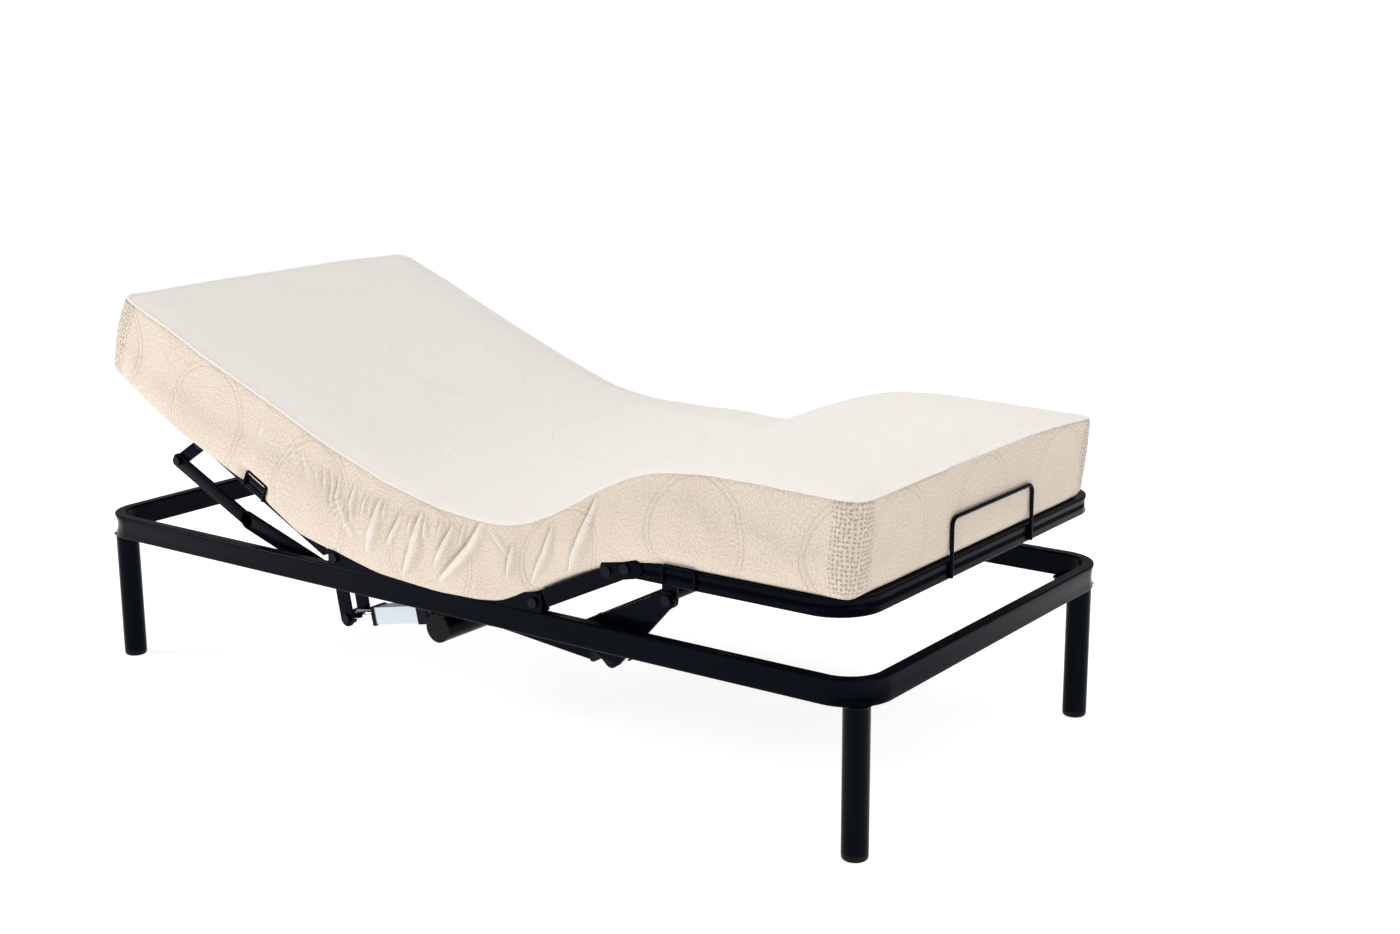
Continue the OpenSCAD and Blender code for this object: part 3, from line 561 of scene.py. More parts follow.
# ---- Actuators ----
# Electric linear actuators: a chromed rod with a flattened eye, a square anodised outer tube
# with a moulded collar, and a moulded gear housing with its motor standing off to the side.
rod_chrome = skin_material("chrome_rod", (0.78, 0.80, 0.84), (0.92, 0.93, 0.95), 0.1, 0.06, 240.0, 0.000004,
                           0.0004, Metallic=1.0)
tube_silver = skin_material("clear_anodised", (0.60, 0.66, 0.72), (0.80, 0.84, 0.88), 0.34, 0.14, 700.0,
                            0.00002, 0.0012, Metallic=0.7)
finish_nodes(rod_chrome, "head_actuator_rod", "foot_actuator_rod")
finish_nodes(tube_silver, "head_actuator_tube")
finish_nodes(black_coat, "foot_actuator_tube")
finish_nodes(glide_black, "head_actuator_collar", "head_actuator_gearbox", "head_actuator_motor",
             "foot_actuator_collar", "foot_actuator_gearbox", "foot_actuator_motor")

# ---- Wire retainers ----
# Bent round wire, black coated: a wide bar across the foot that stops the mattress sliding off,
# and a small loop welded outside each side rail of the head and foot sections.
wire_tree, given, sent = node_group(
    "round_wire", "GeometryNodeTree",
    [("Path", "NodeSocketGeometry", None), ("Radius", FLOAT, 0.003), ("Sides", "NodeSocketInt", 14),
     ("Finish", "NodeSocketMaterial", None)], [("Solid", "NodeSocketGeometry")])
wire_run = put(wire_tree, "GeometryNodeMeshToCurve", Mesh=given["Path"])
ring = put(wire_tree, "GeometryNodeCurvePrimitiveCircle", {"mode": "RADIUS"}, Resolution=given["Sides"],
           Radius=given["Radius"])
wire_solid = put(wire_tree, "GeometryNodeCurveToMesh", Curve=wire_run, Profile_Curve=ring,
                 Fill_Caps=True)
finish_tree(wire_tree, wire_solid, given, sent)


def wire_loop(name, corners, bend, radius, place):
    piece = grow(name, path_mesh(name, rounded_path(corners, bend, steps=8)), wire_tree, Radius=radius,
                 Finish=black_coat)
    piece.data.transform(place)
    return piece


def side_retainers(name, x0, x1, z0, z1, place, body, node):
    side = HALF_WIDTH + 0.003
    loops = [wire_loop(f"{name}_{n}", [(x, s * side, z) for x, z in ((x0, z0), (x0, z1), (x1, z1), (x1, z0))],
                       0.008, 0.003, place) for n, s in enumerate((-1, 1))]
    piece = joined(name, *loops)
    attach(piece, body)
    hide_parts(node)


side_retainers("head_wire_loops", -0.286, -0.224, -0.014, 0.024, at_head, "head_section",
               "head_side_retainers")
side_retainers("foot_wire_loops", 0.082, 0.154, -0.014, 0.022, at_foot, "foot_section", "foot_side_retainers")
bar_x = FOOT_LENGTH + 0.004
foot_bar = wire_loop("foot_wire_bar", [(bar_x, -0.157, -0.014), (bar_x, -0.157, 0.098), (bar_x, 0.157, 0.098),
                                       (bar_x, 0.157, -0.014)], 0.016, 0.004, at_foot)
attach(foot_bar, "foot_section")
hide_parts("foot_end_retainer")

# ---- Mattress ----
# One foam slab, 165 mm thick, in a knitted cover: a near-white ribbed top panel and a cream
# border joined by a corded seam. It lies bent on the deck, hangs a little over the side rails,
# and its border gathers into folds where the slab is bent. Its three lengths meet unseen.
THICK, PLAN_CORNER, TOP_EDGE = 0.165, 0.036, 0.005
SIDE_BAND, END_BAND, DEEPEST_HANG = 0.072, 0.066, 0.04
COVER_HALF, HANG_BULGE, SEAM_CREASE, MESH_BAND = 0.4862, 0.0085, 0.75, 0.024
# the slab's side view in millimetres, head to foot: x and z of its underside, x and z of its top
stations = np.array([
    (-934, 690, -880, 848), (-808, 617, -733, 793), (-699, 561, -620, 743), (-500, 474, -420, 662),
    (-354, 391, -285, 607), (-267, 367, -210, 577), (-126, 343, -100, 541), (37, 334, 48, 508),
    (143, 337, 142, 499), (194, 343, 192, 497), (246, 362, 238, 503), (297, 384, 276, 514),
    (346, 411, 316, 532), (395, 433, 372, 563), (443, 451, 437, 602), (490, 464, 491, 629),
    (536, 475, 532, 645), (582, 482, 580, 657), (680, 482, 680, 667), (778, 482, 778, 666),
    (884, 482, 888, 662), (989, 482, 1008, 656)], float) / 1000


def run_marks(points):
    """How far along a run of points each of them lies."""
    return np.concatenate([[0], np.cumsum(np.linalg.norm(np.diff(points, axis=0), axis=1))])


def read_along(table, marks, at):
    return np.array([np.interp(at, marks, column) for column in table.T]).T


marks = run_marks((stations[:, :2] + stations[:, 2:]) / 2)
slab_length = float(marks[-1])
fine_marks = np.linspace(0, slab_length, 1601)
fine = read_along(stations, marks, fine_marks)
window = np.exp(-np.linspace(-2.5, 2.5, 61) ** 2)
window /= window.sum()
reach = len(window) // 2
carried_on = np.vstack([2 * fine[0] - fine[reach:0:-1], fine, 2 * fine[-1] - fine[-2:-reach - 2:-1]])
fine = np.array([np.convolve(column, window, "valid") for column in carried_on.T]).T

# where the slab lies on the boards, section by section
DECK_GAP = RAIL_HEIGHT / 2 + 0.0008


def deck_point(pivot, angle, along):
    return (pivot.x + along * math.cos(angle) + DECK_GAP * math.sin(angle),
            pivot.z - along * math.sin(angle) + DECK_GAP * math.cos(angle))


seat_z, thigh_turn = HEAD_HINGE.z + DECK_GAP, DECK_GAP * math.tan(THIGH_ANGLE / 2)
deck = np.array([
    deck_point(HEAD_HINGE, HEAD_ANGLE, -0.80), (HEAD_HINGE.x + DECK_GAP * math.tan(HEAD_ANGLE / 2), seat_z),
    (THIGH_HINGE.x + thigh_turn, seat_z), (KNEE.x + thigh_turn, KNEE.z + DECK_GAP), (1.1, KNEE.z + DECK_GAP)])
deck_marks = run_marks(deck)
deck_fine = read_along(deck, deck_marks, np.linspace(0, deck_marks[-1], 4000))
resting = []
for row in fine:
    run = row[2:] - row[:2]
    off = np.abs(run[0] * (deck_fine[:, 1] - row[1]) - run[1] * (deck_fine[:, 0] - row[0]))
    resting.append(deck_fine[int(np.argmin(off))])
resting = np.array(resting)
rise = fine[:, 2:] - fine[:, :2]
droop = np.clip(((resting - fine[:, :2]) * rise).sum(1) / np.linalg.norm(rise, axis=1), 0, DEEPEST_HANG)


def steps_between(start, end, size):
    return list(np.linspace(start, end, max(int(round((end - start) / size)), 1), endpoint=False))


# rows of the cover's mesh: along the slab, finest where it folds, then across, then up
end_rows = [0, 0.006, 0.014, 0.024, 0.036, 0.050, END_BAND]
fold_start, fold_end = (float(np.interp(x, fine[:, 0], fine_marks)) for x in (-0.40, 0.50))
s_rows = np.array(end_rows[:-1] + steps_between(END_BAND, fold_start, 0.014)
                  + steps_between(fold_start, fold_end, 0.0044)
                  + steps_between(fold_end, slab_length - END_BAND, 0.014)
                  + [slab_length - r for r in reversed(end_rows)])
y_rows = np.array([0, 0.010, 0.022, 0.036, 0.052] + steps_between(SIDE_BAND, HALF_WIDTH, 0.023)
                  + [HALF_WIDTH])
y_rows = np.concatenate([y_rows, 2 * HALF_WIDTH - y_rows[-2::-1]])
t_rows = np.array([0, 0.003, 0.008, 0.014, 0.022, 0.033, 0.046, 0.059, 0.072, 0.085, 0.098, 0.111, 0.124,
                   0.136, 0.146, 0.154, 0.160, THICK])
last_i, last_j, last_k = len(s_rows) - 1, len(y_rows) - 1, len(t_rows) - 1


def hang_at(s):
    return np.interp(s, fine_marks, droop) / DEEPEST_HANG


def cover_half_width(s):
    return COVER_HALF + HANG_BULGE * hang_at(s)


def squeezed(depth, inset, band):
    """Rows close to an edge close up to make room for its rounding."""
    return inset + depth * (band - inset) / band if depth < band else depth


def cover_point(i, j, k):
    """A point of the cover: laid out flat with rounded corners, then bent onto the deck."""
    s, d, t = s_rows[i], y_rows[j], t_rows[k]
    low_edge = 0.016 - 0.006 * float(hang_at(s))
    inset = 0.0
    if t < low_edge:
        inset = low_edge - math.sqrt(low_edge**2 - (low_edge - t) ** 2)
    if t > THICK - TOP_EDGE:
        inset = TOP_EDGE - math.sqrt(TOP_EDGE**2 - (t - THICK + TOP_EDGE) ** 2)
    inset -= 0.0025 * math.sin(math.pi * t / THICK)
    half = float(cover_half_width(s))
    sign = -1 if d <= HALF_WIDTH else 1
    depth = min(d, 2 * HALF_WIDTH - d)
    if depth < SIDE_BAND:
        y_abs = half - squeezed(depth, inset, SIDE_BAND)
    else:
        y_abs = (HALF_WIDTH - depth) * (half - SIDE_BAND) / (HALF_WIDTH - SIDE_BAND)
    s_near = squeezed(min(s, slab_length - s), inset, END_BAND)
    sx = s_near if s < slab_length / 2 else slab_length - s_near
    on_side = j in (0, last_j) or i in (0, last_i)
    lip = k == 0 and not on_side
    if lip and min(j, last_j - j) == 1:
        y_abs = min(0.4832, half - inset - 0.003)
    q_s = min(max(sx, PLAN_CORNER), slab_length - PLAN_CORNER)
    q_y = min(y_abs, half - PLAN_CORNER)
    d_s, d_y = sx - q_s, y_abs - q_y
    size = math.hypot(d_s, d_y)
    if size > 1e-9:
        scale = max(abs(d_s), abs(d_y)) / size
        sx, y_abs = q_s + d_s * scale, q_y + d_y * scale
    bottom_top, rest = read_along(fine, fine_marks, sx), read_along(resting, fine_marks, sx)
    bottom, top = bottom_top[:2], bottom_top[2:]
    share = min(max((y_abs - 0.40) / (half - 0.02 - 0.40), 0), 1)
    share = 0.0 if lip else share * share * (3 - 2 * share)
    if k and not on_side:
        share = 1.0
    base = rest + (bottom - rest) * share
    spot = base + (top - base) * (t / THICK)
    return (spot[0], sign * y_abs, spot[1]), (sx, sign * y_abs, t)


index, spots, flats = {}, [], []
for i, j, k in itertools.product(range(last_i + 1), range(last_j + 1), range(last_k + 1)):
    if i in (0, last_i) or j in (0, last_j) or k in (0, last_k):
        spot, flat = cover_point(i, j, k)
        index[i, j, k] = len(spots)
        spots.append(spot)
        flats.append(flat)
flats = np.array(flats)
quads, panels = [], []


def lay_quad(number, a, b, turned_over, spot_at):
    """One quad of a panel of the cover, facing outwards."""
    ring = [index[spot_at(*at)] for at in ((a, b), (a + 1, b), (a + 1, b + 1), (a, b + 1))]
    quads.append(ring[:1] + ring[:0:-1] if turned_over else ring)
    panels.append(number)


for i in range(last_i):
    for j in range(last_j):
        lay_quad(0, i, j, False, lambda i, j: (i, j, last_k))
        lay_quad(1, i, j, True, lambda i, j: (i, j, 0))
    for k in range(last_k):
        lay_quad(2, i, k, False, lambda i, k: (i, 0, k))
        lay_quad(3, i, k, True, lambda i, k: (i, last_j, k))
for j, k in itertools.product(range(last_j), range(last_k)):
    lay_quad(4, j, k, True, lambda j, k: (0, j, k))
    lay_quad(5, j, k, False, lambda j, k: (last_i, j, k))
slab = new_mesh("mattress_slab", spots, [], quads)
slab.update()
seam_ring = [index[i, j, last_k] for i, j in
             [(i, 0) for i in range(last_i)] + [(last_i, j) for j in range(last_j)]
             + [(i, last_j) for i in range(last_i, 0, -1)] + [(0, j) for j in range(last_j, 0, -1)]]
seam_pairs = {tuple(sorted(pair)) for pair in zip(seam_ring, seam_ring[1:] + seam_ring[:1])}
crease = slab.attributes.new("crease_edge", "FLOAT", "EDGE")
for edge in slab.edges:
    if tuple(sorted(edge.vertices)) in seam_pairs:
        crease.data[edge.index].value = SEAM_CREASE
pattern = slab.uv_layers.new(name="cloth")
for face in slab.polygons:
    u, v = ((0, 1), (0, 2), (1, 2))[panels[face.index] // 2]
    for loop in face.loop_indices:
        flat = flats[slab.loops[loop].vertex_index]
        pattern.data[loop].uv = (flat[u], flat[v])
slab.attributes.new("laid_flat", "FLOAT_VECTOR", "POINT").data.foreach_set("vector", flats.ravel())
seam_mark = slab.attributes.new("seam", "FLOAT", "POINT")
for v in seam_ring:
    seam_mark.data[v].value = 1.0
slab_object = placed("mattress_slab", slab)

# the foam fills the cover: pressure against a cloth held where it lies on the boards
CLOTH_STEPS, CLOTH_REACH = 12, 0.006
held = slab_object.vertex_groups.new(name="held")
held.add([n for n in range(len(spots)) if flats[n][2] < 0.002], 1.0, "REPLACE")
cloth = slab_object.modifiers.new("cover", "CLOTH")
for key, value in (
        ("quality", 5), ("mass", 0.25), ("tension_stiffness", 30), ("compression_stiffness", 20),
        ("shear_stiffness", 10), ("bending_stiffness", 1.5), ("use_pressure", True),
        ("uniform_pressure_force", 4), ("vertex_group_mass", "held")):
    setattr(cloth.settings, key, value)
cloth.settings.effector_weights.gravity = 0
for step in range(CLOTH_STEPS):
    scene.frame_set(step + 1)
full = kept_mesh(slab_object)
moved = corners_of(full) - corners_of(slab)
far = np.maximum(np.linalg.norm(moved, axis=1), 1e-9)
settled = corners_of(slab) + moved * (CLOTH_REACH * np.tanh(far / CLOTH_REACH) / far)[:, None]
slab_object.modifiers.remove(cloth)
bpy.data.meshes.remove(full)
slab.vertices.foreach_set("co", settled.ravel())
slab.update()
scene.frame_set(1)

halving = slab_object.modifiers.new("finer", "SUBSURF")
halving.levels = halving.render_levels = 1
halving.uv_smooth = "NONE"
cover = kept_mesh(slab_object)
bpy.data.objects.remove(slab_object)
panel_of = np.repeat(panels, 4)

# folds of the border: height and width of a crest along a bent line, with a hollow beside it
FOLD_RISE, FOLD_SPREAD, FAR_SHIFT, WAVE_RISE = 1.75e-3, 0.56e-3, 0.021, 0.0016
folds = [
    (4.5, 7, (-244, 541), (-244, 483), (-187, 413)), (5, 7, (-225, 533), (-232, 490), (-176, 409)),
    (5, 7, (-180, 523), (-190, 485), (-185, 448)), (4, 6, (-147, 513), (-161, 463)),
    (4.5, 6, (-129, 511), (-139, 460)), (8, 8, (-107, 503), (-120, 462), (-147, 388)),
    (5, 8, (-49, 484), (-89, 415)), (9, 8, (2, 489), (-20, 423), (-50, 360)), (5, 6, (16, 486), (10, 440)),
    (6, 8, (86, 478), (37, 395)), (9, 9, (160, 495), (134, 453), (46, 362)), (4, 7, (177, 492), (229, 440)),
    (7, 7, (331, 516), (316, 472), (278, 396)), (9, 8, (438, 583), (414, 524), (370, 430)),
    (5, 7, (236, 464), (221, 400)), (4, 6, (-286, 550), (-280, 510)), (4, 6, (-263, 541), (-262, 500)),
    (3.5, 7, (-324, 567), (-309, 530)), (3, 7, (-354, 580), (-344, 548)), (3, 9, (-439, 620), (-453, 585)),
    (4, 6, (-92, 500), (-100, 468)), (4, 6, (-20, 486), (-32, 450)), (4, 6, (118, 492), (104, 450)),
    (3, 7, (60, 490), (48, 455))]
co = corners_of(cover)
flat = np.array([v.vector for v in cover.attributes["laid_flat"].data], float)
seam_value = np.array([v.value for v in cover.attributes["seam"].data])
up_share = unit(flat[:, 2] / THICK)
plan_depth = cover_half_width(flat[:, 0]) - np.abs(flat[:, 1])
on_border = unit((0.014 - plan_depth) / 0.006) * unit((THICK - flat[:, 2]) / 0.014 + 0.22)
on_border *= unit(flat[:, 2] / 0.03)


def fold_relief(co, shift):
    relief = np.zeros(len(co))
    for height, width, *line in folds:
        height, width = height * FOLD_RISE, width * FOLD_SPREAD
        line = np.array(line, float) / 1000 + (shift, 0)
        nearest, side, run_share = np.full(len(co), 9.0), np.zeros(len(co)), np.zeros(len(co))
        lengths = np.linalg.norm(np.diff(line, axis=0), axis=1)
        total, gone = lengths.sum(), 0.0
        for a, b, size in zip(line, line[1:], lengths):
            way = (b - a) / size
            rel = co[:, [0, 2]] - a
            along = np.clip(rel @ way, 0, size)
            gap = rel - along[:, None] * way
            far = np.linalg.norm(gap, axis=1)
            closer = far < nearest
            nearest = np.where(closer, far, nearest)
            side = np.where(closer, np.sign(gap[:, 0] * way[1] - gap[:, 1] * way[0]), side)
            run_share = np.where(closer, (gone + along) / total, run_share)
            gone += size
        swell = np.sin(np.pi * unit(run_share * 0.9 + 0.08)) ** 0.8
        off = nearest * side
        crest = np.exp(-(off / np.where(off < 0, 1.5 * width, 0.75 * width)) ** 2)
        relief += height * swell * (crest - 0.45 * np.exp(-((off - 1.75 * width) / (0.75 * width)) ** 2))
    return relief


near = flat[:, 1] < 0
lift = np.where(near, fold_relief(co, 0.0), fold_relief(co, FAR_SHIFT))
long_wave = np.sin(flat[:, 0] * 31 + np.where(near, 0, 1.9)) * np.sin(flat[:, 2] * 19 + flat[:, 0] * 7)
roll_wave = WAVE_RISE * (long_wave + 0.6 * np.sin(flat[:, 0] * 73 + 2.1))
co[:, 1] += np.where(near, -1, 1) * on_border * (lift + roll_wave)
end_depth = np.minimum(flat[:, 0], slab_length - flat[:, 0])
round_corner = unit((PLAN_CORNER + MESH_BAND - end_depth) / 0.014)
round_corner *= unit((PLAN_CORNER + MESH_BAND - plan_depth) / 0.014)
# marks for the border's colour: painted shade in the hollows of the folds, a painted highlight on their
# crests, and the real mesh band at the corners
for mark, share in (("fold_painted_shade", unit((-lift - 0.0003) / 0.0030) * on_border),
                    ("fold_painted_highlight", unit((lift - 0.0015) / 0.0055) * on_border),
                    ("corner_band", round_corner)):
    cover.attributes.new(mark, "FLOAT", "POINT").data.foreach_set("value", share.astype(np.float32))

# the slab is narrower than the base and lies against its near edge; the bend at the seat
# presses its foam outwards and up, most on the far side
HEAD_GAP, FOOT_GAP, HEAD_ROLL, FOOT_ROLL = 0.098, 0.062, 0.005, 0.012
SWELL_X, SWELL_REACH, SWELL_RISE = 0.15, 0.26, 0.046


def seat_swell(x):
    return np.exp(-((x - SWELL_X) / SWELL_REACH) ** 2)


def head_to_foot(x, at_head_end, at_foot_end):
    return np.interp(x, (-0.9, 1.0), (at_head_end, at_foot_end))


far_share = unit((co[:, 1] + HALF_WIDTH) / (2 * HALF_WIDTH))
co[:, 1] -= head_to_foot(co[:, 0], HEAD_GAP, FOOT_GAP) * (1 - 0.5 * seat_swell(co[:, 0])) * far_share

# the small wire loops press into the border
for place, x_mid, x_half, z_top in ((at_head, -0.255, 0.034, 0.026), (at_foot, 0.118, 0.038, 0.024)):
    local = np.array(place.inverted()) @ np.vstack([co.T, np.ones(len(co))])
    near_wire = np.exp(-(np.maximum(np.abs(local[0] - x_mid) - x_half, 0) / 0.012) ** 2)
    near_wire *= 1 / (1 + np.exp((local[2] - z_top - 0.006) / 0.004))
    excess = np.maximum(np.abs(co[:, 1]) - HALF_WIDTH + 0.0005, 0) * near_wire
    co[:, 1] -= np.sign(co[:, 1]) * excess

# the wide bar holds the middle of the foot end back, and the head end swells freely
BAR_REACH, END_SWELL, CROWN = 0.172, 0.008, 0.004
by_bar = 1 / (1 + np.exp((np.abs(co[:, 1]) - BAR_REACH) / 0.006))
bar_face = KNEE.x + FOOT_LENGTH - 0.0006
co[:, 0] -= np.maximum(co[:, 0] - bar_face, 0) * by_bar
swell = END_SWELL * np.sin(np.pi * up_share) * unit(1 - flat[:, 0] / 0.05)
co[:, 0] -= swell * math.cos(HEAD_ANGLE)
co[:, 2] += swell * math.sin(HEAD_ANGLE)
co[:, 2] += unit(plan_depth / 0.25) ** 0.6 * CROWN * (flat[:, 2] > THICK - 0.001)
far_roll = unit((flat[:, 1] - 0.22) / 0.26) ** 2 * up_share * (1 - seat_swell(co[:, 0]))
co[:, 2] -= head_to_foot(co[:, 0], HEAD_ROLL, FOOT_ROLL) * far_roll
to_far_side = unit((flat[:, 1] + 0.35) / 0.7) ** 1.5
co[:, 2] += SWELL_RISE * seat_swell(co[:, 0]) * to_far_side * up_share
cover.vertices.foreach_set("co", co.ravel())
cover.update()
co = corners_of(cover)

# the knit: ribs, loops and fuzz of the face, in the cover's own laid-flat measure
knit, given, sent = node_group(
    "knit_face", "ShaderNodeTree",
    [("Cloth", VECTOR, None), ("Rib", FLOAT, 0.005), ("Loop", FLOAT, 0.003), ("Rib Depth", FLOAT, 0.5),
     ("Base", COLOUR, None), ("Shade", COLOUR, None), ("Fleck", FLOAT, 0.3)],
    [("Colour", COLOUR), ("Roughness", FLOAT), ("Height", FLOAT)])
plus, less, times = sums(knit)


def knit_noise(scale, detail, roughness=0.5):
    return put(knit, "ShaderNodeTexNoise", Vector=given["Cloth"], Scale=scale, Detail=detail,
               Roughness=roughness)


cloth_xy = add_node(knit, "ShaderNodeSeparateXYZ", Vector=given["Cloth"]).outputs
wander = times(knit_noise(24.0, 2.0), 0.0035)
turns = [math_node(knit, "DIVIDE", plus(cloth_xy[n], wander), given[size])
         for n, size in enumerate(("Rib", "Loop"))]
ribs, loops = (math_node(knit, "SINE", times(turn, 2 * math.pi)) for turn in turns)
fuzz, patch = knit_noise(240.0, 4.0, 0.68), knit_noise(5.0, 4.0, 0.55)
knit_height = plus(times(ribs, given["Rib Depth"]), plus(fuzz, times(times(ribs, loops), 0.2)))
speckle = put(knit, "ShaderNodeMapRange", Value=fuzz, From_Min=0.33, From_Max=0.67)
fleck_share = times(plus(times(patch, 0.35), speckle), given["Fleck"])
# painted shade: the grooves between the ribs are painted darker, more so for deeper ribs
rib_groove_shade = times(less(0.6, ribs), times(given["Rib Depth"], 0.12))
knit_share = math_node(knit, "MINIMUM", plus(fleck_share, rib_groove_shade), 1.0)
send(knit, sent, Colour=mixed(knit, knit_share, given["Base"], given["Shade"]),
     Roughness=plus(0.78, times(fuzz, 0.2)), Height=knit_height)

# a pair of plain curved lines embossed at even steps, as a generic ornament
ornament, given, sent = node_group(
    "embossed_arcs", "ShaderNodeTree",
    [("Cloth", VECTOR, None), ("Step", FLOAT, 0.62), ("Centre", FLOAT, 0.0), ("Radius", FLOAT, 0.12)],
    [("Line", FLOAT)])
plus, less, times = sums(ornament)
arc_xy = add_node(ornament, "ShaderNodeSeparateXYZ", Vector=given["Cloth"]).outputs
arc_x = math_node(ornament, "PINGPONG", arc_xy[0], times(given["Step"], 0.5))
arc_y = less(arc_xy[1], given["Centre"])
arc_far = math_node(ornament, "SQRT", plus(times(arc_x, arc_x), times(arc_y, arc_y)))
lines = [
    put(ornament, "ShaderNodeMapRange", From_Min=0.0008, From_Max=0.0022, To_Min=1.0, To_Max=0.0,
        Value=math_node(ornament, "ABSOLUTE", less(arc_far, plus(given["Radius"], wider))))
    for wider in (0.0, 0.011)]
send(ornament, sent, Line=math_node(ornament, "MAXIMUM", *lines))
# the colour of the painted highlight on the crests of the folds
FOLD_HIGHLIGHT_TINT = (0.98, 0.93, 0.86, 1)


def cover_material(name, base, shade, line_tint, rib, rib_depth, fleck, relief, arc_sizes, line_share,
                   border=False):
    """The knitted cloth; a border also has its corner mesh, painted shade in the hollows of its folds and a
    painted highlight on their crests.
    """
    made, tree, shader = new_material(name)
    plus, less, times = sums(tree)
    place = put(tree, "ShaderNodeUVMap", {"uv_map": "cloth"})
    face = add_node(tree, "ShaderNodeGroup", {"node_tree": knit}, Cloth=place, Rib=rib, Base=(*base, 1),
                    Shade=(*shade, 1), Fleck=fleck, Rib_Depth=rib_depth)
    step, centre, radius = arc_sizes
    arcs = put(tree, "ShaderNodeGroup", {"node_tree": ornament}, Cloth=place, Step=step, Centre=centre,
               Radius=radius)
    share, height = times(arcs, line_share), less(face.outputs["Height"], times(arcs, 0.9))
    if border:
        band, fold_shade_share, crest = (
            add_node(tree, "ShaderNodeAttribute", {"attribute_name": mark}).outputs["Fac"]
            for mark in ("corner_band", "fold_painted_shade", "fold_painted_highlight"))
        cells = add_node(tree, "ShaderNodeTexVoronoi", {"voronoi_dimensions": "2D"}, Vector=place,
                         Scale=125.0, Randomness=0.35).outputs["Distance"]
        dots = put(tree, "ShaderNodeMapRange", Value=cells, From_Min=0.18, From_Max=0.36, To_Min=1.0,
                   To_Max=0.0)
        holes = times(dots, band)
        share = math_node(tree, "MINIMUM", plus(share, times(holes, 0.75)), 1.0)
        height = less(height, times(holes, 2.2))
        # painted shade: the hollows of the folds are painted darker
        share = math_node(tree, "MINIMUM", plus(share, times(fold_shade_share, 0.52)), 1.0)
    colour = mixed(tree, share, face.outputs["Colour"], (*line_tint, 1))
    if border:
        # painted highlight: the crests of the folds are painted lighter
        colour = mixed(tree, times(crest, 0.8), colour, FOLD_HIGHLIGHT_TINT)
    bump = put(tree, "ShaderNodeBump", Strength=1.0, Distance=relief, Height=height)
    send(tree, shader.inputs, Base_Color=colour, Roughness=face.outputs["Roughness"], Normal=bump)
    set_sockets(shader, Specular_IOR_Level=0.18, Sheen_Weight=0.18, Sheen_Roughness=0.5)
    return made


top_knit = cover_material("mattress_top_knit", (0.955, 0.895, 0.835), (0.82, 0.75, 0.69), (0.80, 0.74, 0.68),
                          0.0062, 0.34, 0.36, 0.00045, (0.52, 0.12, 0.16), 0.18)
border_knit = cover_material("mattress_border_knit", (0.985, 0.875, 0.755), (0.60, 0.455, 0.34),
                             (0.52, 0.39, 0.29), 0.0042, 0.12, 0.70, 0.0009, (slab_length / 6, 0.065, 0.098),
                             0.16, border=True)
cord_knit = cover_material("mattress_seam_cord", (0.93, 0.90, 0.86), (0.82, 0.77, 0.70), (0.8, 0.75, 0.68),
                           0.004, 0.2, 0.3, 0.0002, (9.0, 4.0, 0.1), 0.0)
cover.attributes.remove(cover.attributes["laid_flat"])
cover.attributes.remove(cover.attributes["seam"])
cover.materials.append(border_knit)
cover.materials.append(top_knit)
cover.polygons.foreach_set("material_index", (panel_of == 0).astype(np.int32))
cover.shade_smooth()

# the seam's path round the top, in order
ring_next = {}
for edge in cover.edges:
    a, b = edge.vertices
    if seam_value[a] > 0.99 and seam_value[b] > 0.99:
        ring_next.setdefault(a, []).append(b)
        ring_next.setdefault(b, []).append(a)
ring_order = [min(ring_next, key=lambda v: flat[v][0] + flat[v][1])]
ring_order.append(ring_next[ring_order[0]][0])
while True:
    ahead = [v for v in ring_next[ring_order[-1]] if v != ring_order[-2]][0]
    if ahead == ring_order[0]:
        break
    ring_order.append(ahead)

stitch_tree, given, sent = node_group(
    "stitch_row", "GeometryNodeTree",
    [("Path", "NodeSocketGeometry", None), ("Spacing", FLOAT, 0.009), ("Length", FLOAT, 0.0055),
     ("Radius", FLOAT, 0.0006), ("Finish", "NodeSocketMaterial", None)], [("Solid", "NodeSocketGeometry")])
stitch_run = put(stitch_tree, "GeometryNodeMeshToCurve", Mesh=given["Path"])
stitch_spots = add_node(stitch_tree, "GeometryNodeCurveToPoints", {"mode": "LENGTH"}, Curve=stitch_run,
                        Length=given["Spacing"])
stitch_form = put(stitch_tree, "GeometryNodeMeshUVSphere", Segments=6, Rings=4,
                  Radius=given["Radius"])
stitch_long = math_node(stitch_tree, "DIVIDE", given["Length"], given["Radius"])
stitch_half = math_node(stitch_tree, "MULTIPLY", stitch_long, 0.5)
stitch_scale = put(stitch_tree, "ShaderNodeCombineXYZ", X=1.0, Y=1.0, Z=stitch_half)
stitch_turn = put(stitch_tree, "FunctionNodeAlignRotationToVector", {"axis": "Z"},
                  Vector=stitch_spots.outputs["Tangent"])
stitches = put(stitch_tree, "GeometryNodeInstanceOnPoints", Points=stitch_spots.outputs["Points"],
               Instance=stitch_form, Rotation=stitch_turn, Scale=stitch_scale)
finish_tree(stitch_tree, stitches, given, sent)


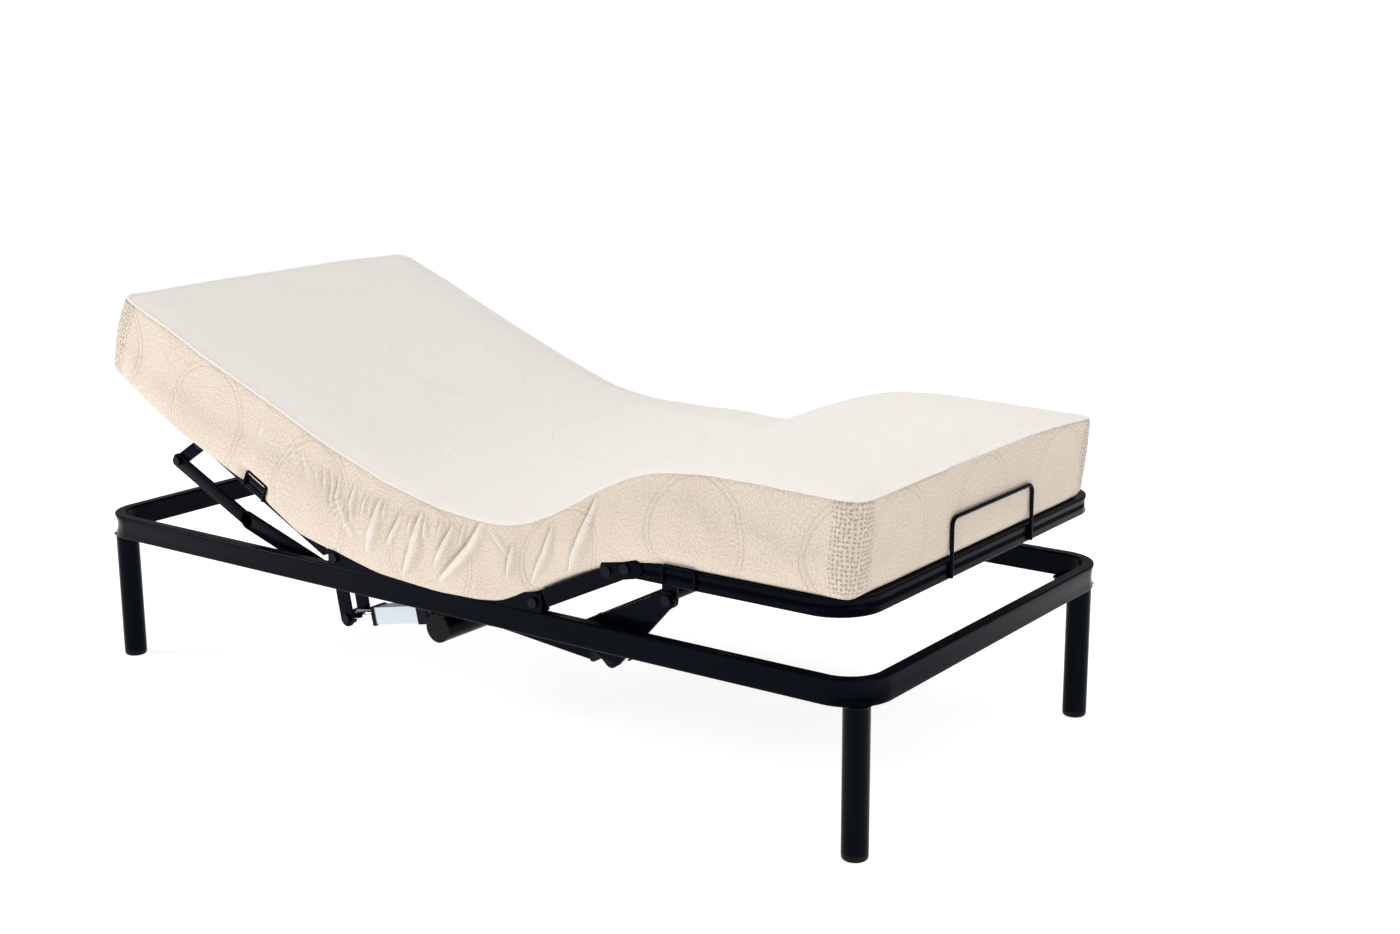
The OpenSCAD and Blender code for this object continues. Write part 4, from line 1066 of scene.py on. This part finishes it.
def seam_runs(low, high, outward, lift):
    """The stretches of the seam between two cuts, moved off the cover by a little."""
    points, number = [], {}
    for v in ring_order:
        s, y = flat[v][0], flat[v][1]
        if low - 1e-6 <= s <= high + 1e-6:
            q_s = min(max(s, PLAN_CORNER), slab_length - PLAN_CORNER)
            q_y = min(abs(y), float(cover_half_width(s)) - PLAN_CORNER)
            away = Vector((s - q_s, math.copysign(abs(y) - q_y, y), 0)).normalized()
            number[v] = len(points)
            points.append(tuple(Vector(co[v]) + away * outward + Vector((0, 0, lift))))
    edges = [(number[a], number[b]) for a, b in zip(ring_order, ring_order[1:] + ring_order[:1])
             if a in number and b in number]
    return new_mesh("seam_path", points, edges, [])


def cloth_map(piece):
    """Lays the piece's cloth measure over it, from its place."""
    layer = piece.data.uv_layers.get("cloth") or piece.data.uv_layers.new(name="cloth")
    for loop in piece.data.loops:
        x, y, z = piece.data.vertices[loop.vertex_index].co
        layer.data[loop.index].uv = (x + y, z)


# the cover is cut across where the slab lies straight on the seat and on the thigh section
CUTS_X, CORD_RADIUS = (0.045, 0.390), 0.0022
cut_s = [float(s_rows[int(np.argmin(np.abs(s_rows - np.interp(x, fine[:, 0], fine_marks))))]) for x in CUTS_X]
centre_s = np.array([np.mean([flat[v][0] for v in face.vertices]) for face in cover.polygons])
bounds_s = [-1.0, *cut_s, slab_length + 1.0]
lengths = (
    ("head", ("head_section", "base"), (-0.44, 0, 0.60), (-0.02, 0, 0.44),
     ("mattress_head", "mattress_seat")),
    ("seat", ("base", "thigh_section"), (0.16, 0, 0.462), (0.372, 0, 0.499), ("mattress_seat",)),
    ("foot", ("thigh_section", "foot_section"), (0.398, 0, 0.50), (0.625, 0, 0.52),
     ("mattress_thigh", "mattress_foot")),
)
for (part, bodies, start, end, stands_for), low, high in zip(lengths, bounds_s, bounds_s[1:]):
    form = bmesh.new()
    form.from_mesh(cover)
    form.faces.ensure_lookup_table()
    gone = [form.faces[f] for f in np.nonzero((centre_s < low) | (centre_s > high))[0]]
    bmesh.ops.delete(form, geom=gone, context="FACES")
    rims = [e for e in form.edges if e.is_boundary]
    caps = bmesh.ops.holes_fill(form, edges=rims, sides=0)["faces"]
    bmesh.ops.triangulate(form, faces=caps)
    for edge in rims:
        edge.smooth = False
    mesh = bpy.data.meshes.new(f"mattress_{part}_length")
    form.to_mesh(mesh)
    form.free()
    for finish in (border_knit, top_knit):
        mesh.materials.append(finish)
    length = placed(f"mattress_{part}_length", mesh)
    cord = grow(f"mattress_{part}_cord", seam_runs(low, high, 0.0004, 0.0002), wire_tree, Radius=CORD_RADIUS,
                Sides=8, Finish=cord_knit)
    cord_stitches = grow(f"mattress_{part}_stitches", seam_runs(low, high, 0.0012, -0.0052), stitch_tree,
                         Finish=cord_knit)
    for piece in (cord, cord_stitches):
        cloth_map(piece)
    for piece in (length, cord, cord_stitches):
        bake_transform(piece)
    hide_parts(*stands_for)
